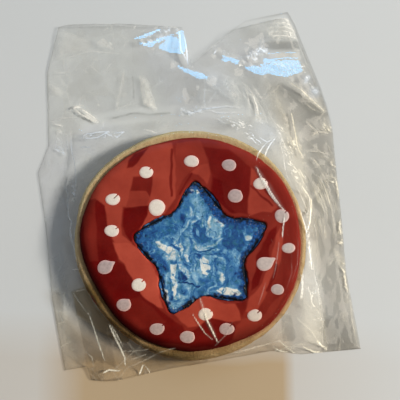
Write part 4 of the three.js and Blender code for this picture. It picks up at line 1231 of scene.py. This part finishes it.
# Round spots painted cool, as a painted reflection of the bluish window: the middle, how much flatter
# than a circle, and where it fades out and in.
COOL_SPOTS = [
    ((-31, 38), 1.6, 12, 9), ((24, 70), 1, 9, 6), ((26, 39), 1, 8, 3), ((42.4, 60.8), 1, 3, 1.8),
    ((45.2, 56.6), 1, 3, 1.8),
]

# A fold above the cookie, along which the film mirrors next to nothing.
QUIET_FOLD = [(-36, 43), (-33, 45), (-24, 47), (-14, 48), (5, 49.3), (14, 49.5), (24, 48), (30, 45.5),
              (33, 41)]

# Folds painted dark as shade along their creases, in the same way.
DARK_FOLDS = [
    (0.4, 0.4, [(-41.1, -16.5), (-38.7, -25.1), (-36.1, -36.5), (-34.4, -46.2)]),
    (0.35, 0.4, [(-48.5, 81), (-29.5, 81.5), (-12, 81), (-4, 81)]),
    (0.3, 0.4, [(20.5, 83), (25.5, 84.5), (36, 86.5)]),
    (0.35, 0.4, [(35.5, 86.5), (40, 76), (43.5, 63.5), (47.5, 54), (49.5, 47.5)]),
    (0.3, 0.4, [(-21, 62), (-20.5, 57), (-20.5, 54)]),
    (0.35, 0.5, [(-28, 46.5), (-23.5, 47.5), (-20.5, 48.5), (-14.5, 48), (-7.5, 48.5)]),
    (0.3, 0.4, [(-43, -43.5), (-39, -43), (-35.5, -42)]),
    (0.3, 0.4, [(-48, -19), (-45.5, -29.5), (-43, -43.5)]),
    (0.35, 0.5, [(-34, -46.5), (-29.5, -47), (-23.5, -46)]),
    (0.3, 0.4, [(-13.5, -44), (-3.5, -42.5), (6, -40)]),
    (0.4, 0.4, [(47.5, -36.5), (53.5, -36.5), (59, -35.5)]),
    (0.3, 0.4, [(-17, -35), (-12.5, -37), (-6.5, -39), (0, -40)]),
    (0.3, 0.4, [(-18.5, -39), (-13.5, -37.5), (-9.5, -37)]),
    (0.25, 0.4, [(-49.5, -7), (-46.5, -19), (-43.5, -34.5)]),
    (0.25, 0.4, [(5, -39.5), (20.5, -37), (34.5, -36.5), (47, -36.5)]),
    (0.3, 2, [(33, 58), (37.5, 55.5), (42.5, 51.4), (47.6, 47.4)]),
]


def along(edge, share):
    """A distance read off an edge's (share, distance) points."""
    return np.interp(share, *zip(*edge))


def pale_folds(plan, broken):
    """What the folds painted pale as highlights leave of the clear film at each place, how near the nearest
    of them lies (1 on its line), and how bright that one is."""
    whole = np.ones(broken.shape)
    crease = np.zeros(broken.shape)
    lit = np.zeros(broken.shape)
    for level, width, line in PALE_FOLDS:
        away, share = along_line(plan, line)
        taper = 0.45 + 0.55 * np.sin(np.pi * share)
        fold = smoothstep(0.08 + 0.6 * width * taper, 0.1 * width * taper, away)
        whole *= 1 - np.clip(0.4 * level * fold * (0.45 + broken), 0, 0.95)
        near = 1 - away / 1.1 - 0.22 * (1 - taper) - 0.07 * (1 - level)
        lit = np.where(near > crease, level, lit)
        crease = np.maximum(crease, near)
    return whole, crease, lit


def cool_and_warm(plan):
    """Where the film looks cool: towards the window and in round spots, painted reflections of the bluish
    window, and in a strip at the left over the cookie's shadow, painted bluer; and where it looks warm (at
    the right and at the closed end)."""
    x, y = plan[..., 0], plan[..., 1]
    cool = smoothstep(20, 36, y) * smoothstep(22, 8, x)
    cool *= smoothstep(-22, -12, x - 0.6 * np.maximum(68 - y, 0))
    for (spot_x, spot_y), flatter, fade_out, fade_in in COOL_SPOTS:
        away = np.hypot(x - spot_x, (y - spot_y) * flatter)
        cool = np.maximum(cool, smoothstep(fade_out, fade_in, away))
    strip = smoothstep(-36, -42, x) * smoothstep(-20, 0, y) * smoothstep(42, 36, y)
    warm = smoothstep(40, 46, x + 0.25 * y) * smoothstep(70, 50, y)
    return np.maximum(cool, strip), np.maximum(warm, smoothstep(-10, -30, y))


def film_marks(plan):
    """How the front film looks at each place: grey by chance, in layers, and as painted shade at dark folds
    and over the cookie's shadow, brown as painted shade in the dark corner, pale as painted highlights at
    folds and patches, glinting, cool or warm, loose off the cookie and ribbed at its right."""
    (coarse, coarse_chance), (fine, fine_chance), (_, narrow_chance) = film_crumples(plan)
    angle, reach = round_middle(plan)
    off = reach - reach_at(DOUGH_REACH, angle)
    loose = smoothstep(-2, 3, off) * (1 - 0.95 * smoothstep(4, 2, distance_to_line(plan, QUIET_FOLD)))
    ribbed = smoothstep(0.3, 2, off) * smoothstep(20, 12, off)
    ribbed *= smoothstep(18, 14, np.abs(np.degrees(angle) - 20))
    crinkled = loose * (0.05 + 0.12 * smoothstep(-10, -24, plan[..., 1]) * smoothstep(10, -8, plan[..., 0]))
    clear = 1 - crinkled * fine_chance - 0.02 * loose * coarse_chance - 0.08 * ribbed * narrow_chance
    for level, soft, corners in GREY_LAYERS_AND_SHADOWS:
        clear *= 1 - level * cover(plan, corners, soft)
    broken = noise(plan, 2.2, 71)
    for level, width, line in DARK_FOLDS:
        clear *= 1 - level * smoothstep(width, 0.3 * width, distance_to_line(plan, line)) * (0.4 + broken)
    whole, crease, lit = pale_folds(plan, broken)
    whole *= 1 - 0.6 * crinkled * coarse_chance * (1 - fine_chance)
    # Painted glints: faint pale lines along the crumples' edges, off the cookie.
    edges = np.maximum(smoothstep(0.03, 0.0, coarse), 0.8 * smoothstep(0.06, 0.0, fine))
    whole *= 1 - 0.25 * loose * edges * smoothstep(0.45, 0.75, noise(plan, 5, 72))
    streaks = 0.7 + 0.45 * noise(plan @ np.array([[1.0, 0.5], [1.0, -0.5]]), 1.1, 73)
    streaks *= smoothstep(-0.2, 0.8, off)
    for level, soft, corners in PALE_PATCHES:
        whole *= 1 - np.clip(level * cover(plan, corners, soft) * streaks, 0, 1)
    dull = np.ones(reach.shape)
    for level, corners in GLINTS:
        dull *= 1 - level * cover(plan, corners, 0.9)
    cool, warm = cool_and_warm(plan)
    return {
        "grey": 1 - clear,
        "pale": 1 - whole,
        "glint": 1 - dull,
        "cool": cool,
        "warm": warm,
        "loose": loose,
        "brown": 0.9 * cover(plan, BROWN_SHADOW_CORNER, 0.6),
        "ribbed": ribbed,
        "off_rim": off * MM,
        "round_rim": DOUGH_RADIUS * angle * MM,
        "crease": crease,
        "lit": lit,
    }


def bag_plan(across, up, mouth_edge):
    """Plan places of a film: across runs from the left edge to the right, up from the bottom to the
    mouth; the mouth's way off a straight line fades in as a power of up."""
    x = (1 - across) * along(BAG_LEFT_X, up) + across * along(BAG_RIGHT_X, up)
    bottom = along(BAG_BOTTOM_Y, across)
    straight = (1 - across) * mouth_edge[0][1] + across * mouth_edge[-1][1]
    y = (1 - up) * bottom + up * straight + (along(mouth_edge, across) - straight) * up**NOTCH_FADE
    return np.stack([x, y], -1)


def crumpled(points, size, seed):
    """Crumpled sheet from 0 up, and a random number for each facet: second nearest less nearest squared
    distance to jittered seeds, flat inside straight-edged facets, in units of the seeds' spacing."""
    place = points / size
    cell = np.floor(place)
    reaches = []
    chances = []
    for step in itertools.product((-1, 0, 1), repeat=2):
        near = cell + np.array(step)
        jitter = np.stack([lattice_random(near, seed), lattice_random(near, seed + 5)], -1)
        reaches.append(((near + jitter - place) ** 2).sum(-1))
        chances.append(lattice_random(near, seed + 9))
    reaches = np.stack(reaches)
    nearest = np.partition(reaches, 1, axis=0)
    chance = np.take_along_axis(np.stack(chances), reaches.argmin(0)[None], 0)[0]
    return nearest[1] - nearest[0], chance


def film_crumples(plan):
    """Coarse, fine and narrow crumples of the front film, each as (height, chance of its facet)."""
    bent = plan + 2 * np.stack([noise(plan, 20, 1), noise(plan, 20, 2)], -1)
    angle, reach = round_middle(plan)
    round_rim = np.stack([reach, 9 * angle + 0.4 * bent[..., 0]], -1)
    tilted = plan @ np.array([[1.0, 0.3], [-0.3, 0.8]])
    return crumpled(bent, 13, 7), crumpled(tilted, 5, 9), crumpled(round_rim, 3, 11)


def rest_height(plan):
    """Lowest the front film can lie: over the icing and dots, then down from the rim no steeper than a
    set slope."""
    angle, reach = round_middle(plan)
    off = reach - reach_at(DOUGH_REACH, angle)
    height = TENT_TOP - 0.5 * smoothstep(-1.7, -0.6, off) - STEEPEST * np.maximum(off + 0.6, 0)
    return np.maximum(height, FILM_EDGE)


def slack_film(plan):
    """Front film before its facets: on the cookie, down in straight lines to the tent's foot, low beyond
    it and lifting towards the mouth, crumpled everywhere and ridged along its folds."""
    angle, reach = round_middle(plan)
    foot = np.interp(np.degrees(angle), *zip(*TENT_FOOT), period=360)
    near = np.clip((foot - reach) / (foot - TENT_START), 0, 1)
    low = FILM_LIE + FILM_LIFT * smoothstep(50, 84, plan[..., 1])
    (coarse, _), (fine, _), (narrow, _) = film_crumples(plan)
    slackness = 0.3 + 0.7 * smoothstep(TENT_START - 3, TENT_START + 4, reach)
    calm = 1 - 0.45 * smoothstep(38, 46, plan[..., 0]) * smoothstep(62, 50, plan[..., 1])
    crumple = calm * slackness * (0.5 * coarse + 0.2 * fine + 0.1 * narrow)
    ridges = np.zeros(reach.shape)
    for number, (_, width, line) in enumerate(PALE_FOLDS + DARK_FOLDS):
        ridges += (-1) ** number * 0.04 * np.clip(1 - distance_to_line(plan, line) / (0.5 + width), 0, 1)
    held = 1 - 0.5 * near * (reach > TENT_START)
    return low + (TENT_TOP - low) * near + (crumple + slackness * ridges) * held


def settled(start, slope, weight, pull=0.012):
    """Height map whose slopes come nearest the wanted ones: the least squares of slope errors, with a
    light pull to the starting heights, solved by conjugate gradients."""
    weight_x = (weight[:, 1:] + weight[:, :-1]) / 2
    weight_y = (weight[1:] + weight[:-1]) / 2
    wanted_x = (slope[:, 1:, 0] + slope[:, :-1, 0]) / 2
    wanted_y = (slope[1:, :, 1] + slope[:-1, :, 1]) / 2

    def gathered(flow_x, flow_y):
        """What flows into each place less what flows out of it."""
        total = np.zeros_like(start)
        total[:, 1:] += flow_x
        total[:, :-1] -= flow_x
        total[1:] += flow_y
        total[:-1] -= flow_y
        return total / MAP_CELL

    def applied(height):
        """The equations' left side for some heights: their weighted slopes gathered, and the pull."""
        flow_x = weight_x * np.diff(height, axis=1) / MAP_CELL
        flow_y = weight_y * np.diff(height, axis=0) / MAP_CELL
        return gathered(flow_x, flow_y) + pull * height

    height = start.copy()
    error = gathered(weight_x * wanted_x, weight_y * wanted_y) + pull * start - applied(height)
    way = error.copy()
    size = (error * error).sum()
    for _ in range(MAP_ROUNDS):
        applied_way = applied(way)
        step = size / (way * applied_way).sum()
        height += step * way
        error -= step * applied_way
        following = (error * error).sum()
        way = error + way * following / size
        size = following
    return height


def front_map():
    """Height map of the front film: the slack film, bent so that its facets mirror what they should, and
    held off whatever lies under it."""
    start = slack_film(MAP)
    slope = np.stack([np.gradient(start, MAP_CELL, axis=1), np.gradient(start, MAP_CELL, axis=0)], -1)
    weight = np.full(start.shape, SLACK_PULL)
    ripples = np.stack([noise(MAP, 1.6, 25) - 0.5, noise(MAP * [0.6, 1.6], 1.6, 26) - 0.5], -1)
    wobble = 0.08 * slope + 0.1 * ripples
    for light, corners in FACETS:
        within = inside(MAP, corners)
        slope[within] = mirror_slope(MAP[within], light) + wobble[within]
        weight[within] = FACET_PULL
    height = settled(start, slope, weight)
    return np.maximum(height, rest_height(MAP))


def read_map(height_map, plan):
    """Height at any place, blended from the four nearest values of the map."""
    column = np.clip((plan[..., 0] - MAP_X[0]) / MAP_CELL, 0, len(MAP_X) - 1.001)
    row = np.clip((plan[..., 1] - MAP_Y[0]) / MAP_CELL, 0, len(MAP_Y) - 1.001)
    i, j = column.astype(int), row.astype(int)
    s, t = column - i, row - j
    low = (1 - s) * height_map[j, i] + s * height_map[j, i + 1]
    high = (1 - s) * height_map[j + 1, i] + s * height_map[j + 1, i + 1]
    return (1 - t) * low + t * high


def film_grid(columns, rows, mouth_edge):
    """A film's grid of places in plan, [row, column], how far each lies from the sides and the closed
    end, and how far from any edge."""
    across, up = np.meshgrid(np.linspace(0, 1, columns), np.linspace(0, 1, rows))
    width = along(BAG_RIGHT_X, up) - along(BAG_LEFT_X, up)
    to_closed = np.minimum(np.minimum(across, 1 - across) * width, up * BAG_LENGTH)
    to_any = np.minimum(to_closed, (1 - up) * BAG_LENGTH)
    return bag_plan(across, up, mouth_edge), to_closed, to_any


def rim_grey(plan):
    """How grey the film's cut edge looks: faint, and darker up the right side of the mouth."""
    return 0.2 + 0.35 * smoothstep(18, 34, plan[..., 0]) * smoothstep(42, 56, plan[..., 1])


def film_piece(name, plan, height, quads, material, marks):
    """Makes one film of the bag, an open sheet."""
    points = raised(plan, height).reshape(-1, 3)
    return mesh_piece(name, points, quads, NO_TRIS, material, ["bag"], marks)


def front_film(material):
    """Front film: its plan places, with heights read off the map and drawn down to the side edges."""
    plan, to_closed, to_any = film_grid(*FRONT_GRID, FRONT_MOUTH_Y)
    height = read_map(front_map(), plan)
    height = FILM_EDGE + (height - FILM_EDGE) * smoothstep(-1, 3.5, to_closed)
    marks = film_marks(plan)
    marks["grey"] = 1 - (1 - marks["grey"]) * (1 - rim_grey(plan) * smoothstep(0.6, 0.1, to_any))
    return film_piece("front_film", plan, height, grid_quads(*height.shape), material, marks)


def back_film(material):
    """Back film, facing down: flat under the cookie, a little crumpled round it and towards the mouth."""
    plan, to_closed, to_any = film_grid(*BACK_GRID, BACK_MOUTH_Y)
    reach = round_middle(plan)[1]
    loose = smoothstep(DOUGH_RADIUS - 4, DOUGH_RADIUS + 4, reach) * np.clip(to_closed / 3, 0, 1)
    crumple = 0.5 * crumpled(plan, 11, 21)[0] + 0.15 * crumpled(plan, 4.5, 22)[0]
    height = BACK_LIE + loose * crumple
    marks = {"grey": 0.8 * rim_grey(plan) * smoothstep(0.9, 0.2, to_any)}
    return film_piece("back_film", plan, height, grid_quads(*height.shape)[:, ::-1], material, marks)


def passed_light(r, chance):
    """Colour of the light that the film passes: darker by the chance of each facet, greyer in layers and as
    painted shade, cooler or warmer by its side, and brown as painted shade in the dark corner."""
    shade = r.ramp(chance, [(0.2, (0.95, 0.945, 0.935)), (0.5, (0.985, 0.985, 0.985)), (0.75, (1, 1, 0.995))])
    shade = r.mix(r.mark("loose"), (1, 1, 1), shade)
    tinted = r.mix(r.mark("cool"), r.mix(r.mark("warm"), (1, 1, 0.995), (1, 0.97, 0.93)), (0.99, 0.99, 1))
    passed = r.mix(1.0, r.mix(r.mark("grey"), tinted, (0.5, 0.49, 0.47)), shade, "MULTIPLY")
    # Painted shade: the passed light tinted brown over the cookie's deepest shadow.
    return r.mix(r.mark("brown"), passed, r.mix(1.0, passed, (0.64, 0.52, 0.33), "MULTIPLY"))


def pale_share(r, large_edge, small_edge):
    """How much of the film is painted pale as highlights and glare: the largest of broken patches, glints,
    fine crackle along the facets' edges, ribs beside the cookie and the bright cores of folds."""
    broken = r.spread(r.noise(0.7, 3, 0.6), 0.35, 0.55, 0.6, 1.0)
    grain = r.noise(0.7, 3, 0.6, 0.6, r.stretched(0.84, 0.35))
    crackle = r.largest(r.spread(large_edge, 0.03, 0.0), r.spread(small_edge, 0.04, 0.0, 0, 0.6))
    crackle_here = r.spread(r.noise(7, 3), 0.45, 0.65, 0.0, 0.13)
    rim_place = {0: r.mark("off_rim"), 1: r.product(r.mark("round_rim"), 0.09)}
    rim_place = r.node("ShaderNodeCombineXYZ", rim_place).outputs[0]
    ribs = r.maths("ADD", r.spread(r.noise(0.9, 3, 0.65, 0.3, rim_place), 0.53, 0.7, 0.0, 0.55), 0.03)
    wavy = r.maths("ADD", r.mark("crease"), r.spread(r.noise(1.1, 2), 0.3, 0.7, -0.05, 0.05))
    patchy = r.spread(r.noise(0.9, 3, 0.6), 0.32, 0.5, 0.4, 1.0)
    core = r.product(r.spread(wavy, 0.67, 0.82), r.mark("lit"), 1.2, patchy)
    return r.largest(
        r.product(r.mark("pale"), broken),
        r.product(r.mark("glint"), r.spread(grain, 0.52, 0.62)),
        r.product(crackle, crackle_here, r.mark("loose")),
        r.product(ribs, r.mark("ribbed")),
        r.maths("MINIMUM", core, 1.0),
    )


def clear_film():
    """Clear thin film: mirrors little of the light head on and nearly all of it edge on, passes the rest, and
    scatters it where it is painted pale, a matt white that stands for highlights and glare."""
    r = Recipe("clear_film")
    facing = r.node("ShaderNodeLayerWeight", {"Blend": 0.5}).outputs["Facing"]
    free = r.spread(r.mark("loose"), 0, 1, 0.05, 1.0)
    mirrored = r.product(free, r.maths("MULTIPLY_ADD", r.maths("POWER", facing, 5.0), 0.8, 0.034))
    large, large_edge = r.facets(5.5, 0.5, 0.6)
    small, small_edge = r.facets(2.6, -0.7, 0.45)
    chance = r.maths("MULTIPLY_ADD", large, 0.6, r.product(small, 0.4))
    clear = r.node("ShaderNodeBsdfTransparent", {"Color": passed_light(r, chance)}).outputs["BSDF"]
    # Painted highlights: the pale film is a matt white, warmer where it looks warm, and blue in the painted
    # reflections of the window.
    warm_white = r.mix(r.mark("warm"), (0.96, 0.93, 0.84), (1, 0.92, 0.72))
    highlight_white = r.mix(r.mark("cool"), warm_white, (0.84, 0.92, 1.0))
    pale = r.node("ShaderNodeBsdfDiffuse", {"Color": highlight_white}).outputs["BSDF"]
    relief = r.bump(r.noise(1.6, 3, 0.55), 0.02, 0.5)
    gloss = r.node("ShaderNodeBsdfGlossy", {"Color": (1, 1, 1, 1), "Roughness": 0.06, "Normal": relief})
    wear_and_highlight = r.node("ShaderNodeMixShader", {0: pale_share(r, large_edge, small_edge), 1: clear, 2: pale})
    both = r.node("ShaderNodeMixShader", {0: mirrored, 1: wear_and_highlight.outputs[0], 2: gloss.outputs["BSDF"]})
    return r.finish(both.outputs[0])


# ---------------------------------------------------------------- stage, light and camera

def place_camera():
    """Camera over the cookie, a little towards the bag's closed end, looking at the bag's middle."""
    data = bpy.data.cameras.new("camera")
    data.lens = CAMERA_LENS
    data.clip_start = 0.01
    camera = bpy.data.objects.new("camera", data)
    bpy.context.scene.collection.objects.link(camera)
    camera.location = Vector(EYE) * MM
    camera.rotation_euler = Vector(CAMERA_TARGET - EYE).to_track_quat("-Z", "Y").to_euler()
    bpy.context.scene.camera = camera


def soft_light(name, card, lights_food=False):
    """A flat soft light facing the cookie: one that either lights the food or only shows as a gloss."""
    data = bpy.data.lights.new(name, "AREA")
    data.shape = "RECTANGLE"
    data.size, data.size_y = (side * MM for side in card.size)
    data.energy = card.watts
    data.color = card.colour
    light = bpy.data.objects.new(name, data)
    bpy.context.scene.collection.objects.link(light)
    way = Vector(direction(card.heading, card.elevation))
    light.location = way * card.distance * MM
    light.rotation_euler = (-way).to_track_quat("-Z", "Y").to_euler()
    light.visible_camera = False
    light.visible_diffuse = lights_food
    light.visible_glossy = not lights_food


TABLE_HALF = 0.8


def table_top():
    """A plain pale table top, warmer in a soft patch beyond the bag's closed end."""
    mesh = bpy.data.meshes.new("table_top")
    corners = [(x * TABLE_HALF, y * TABLE_HALF, 0) for x, y in ((-1, -1), (1, -1), (1, 1), (-1, 1))]
    mesh.from_pydata(corners, [], [(0, 1, 2, 3)])
    r = Recipe("pale_table")
    cool = r.ramp(r.noise(120, 2), [(0.3, (0.6, 0.61, 0.595)), (0.7, (0.63, 0.635, 0.62))])
    parts = r.node("ShaderNodeSeparateXYZ", {0: r.place()}).outputs
    wavy = r.maths("ADD", parts["Y"], r.spread(r.noise(60, 2), 0.3, 0.7, -0.004, 0.004))
    left = r.spread(parts["X"], -0.06, -0.036)
    right = r.spread(parts["X"], 0.038, 0.032)
    beyond = r.spread(parts["X"], 0.08, 0.03, 0.06, 0.3)
    warmth = r.product(r.spread(wavy, -0.024, -0.04), r.largest(r.product(left, right), beyond))
    colour = r.mix(warmth, cool, (0.46, 0.335, 0.195))
    mesh.materials.append(r.food(colour, 0.6, r.bump(r.noise(3, 3), 0.02, 0.3), 0.5))
    top = bpy.data.objects.new("table_top", mesh)
    bpy.context.scene.collection.objects.link(top)


def surroundings():
    """The room: brightest low down, dark overhead, and darker away from the window and the warm side."""
    r = Recipe("surroundings", "worlds")
    way = r.node("ShaderNodeTexCoord").outputs["Generated"]
    height = r.node("ShaderNodeSeparateXYZ", {0: way}).outputs["Z"]
    side = {0: way, 1: direction(ROOM_HEADING, 0)}
    side = r.node("ShaderNodeVectorMath", side, operation="DOT_PRODUCT").outputs["Value"]
    by_side = r.ramp(r.spread(side, -1, 1), ROOM_BY_SIDE)
    light = r.mix(1.0, r.ramp(height, ROOM_BY_HEIGHT), by_side, "MULTIPLY")
    background = r.node("ShaderNodeBackground", {"Color": light})
    r.node("ShaderNodeOutputWorld", {"Surface": background.outputs[0]})
    scene = bpy.context.scene
    scene.world = r.owner
    scene.view_settings.view_transform = "Standard"
    scene.cycles.transparent_max_bounces = 24


surroundings()
table_top()
place_camera()
soft_light("key", KEY, lights_food=True)
for name, card in GLOSS_LIGHTS.items():
    soft_light(name, card)

dough_piece()
red_icing_piece()
star_piece()
dots_icing = white_dot_icing()
for dot in DOT_NODES:
    dot_piece(dot, dots_icing)
film = clear_film()
back_film(film)
front_film(film)
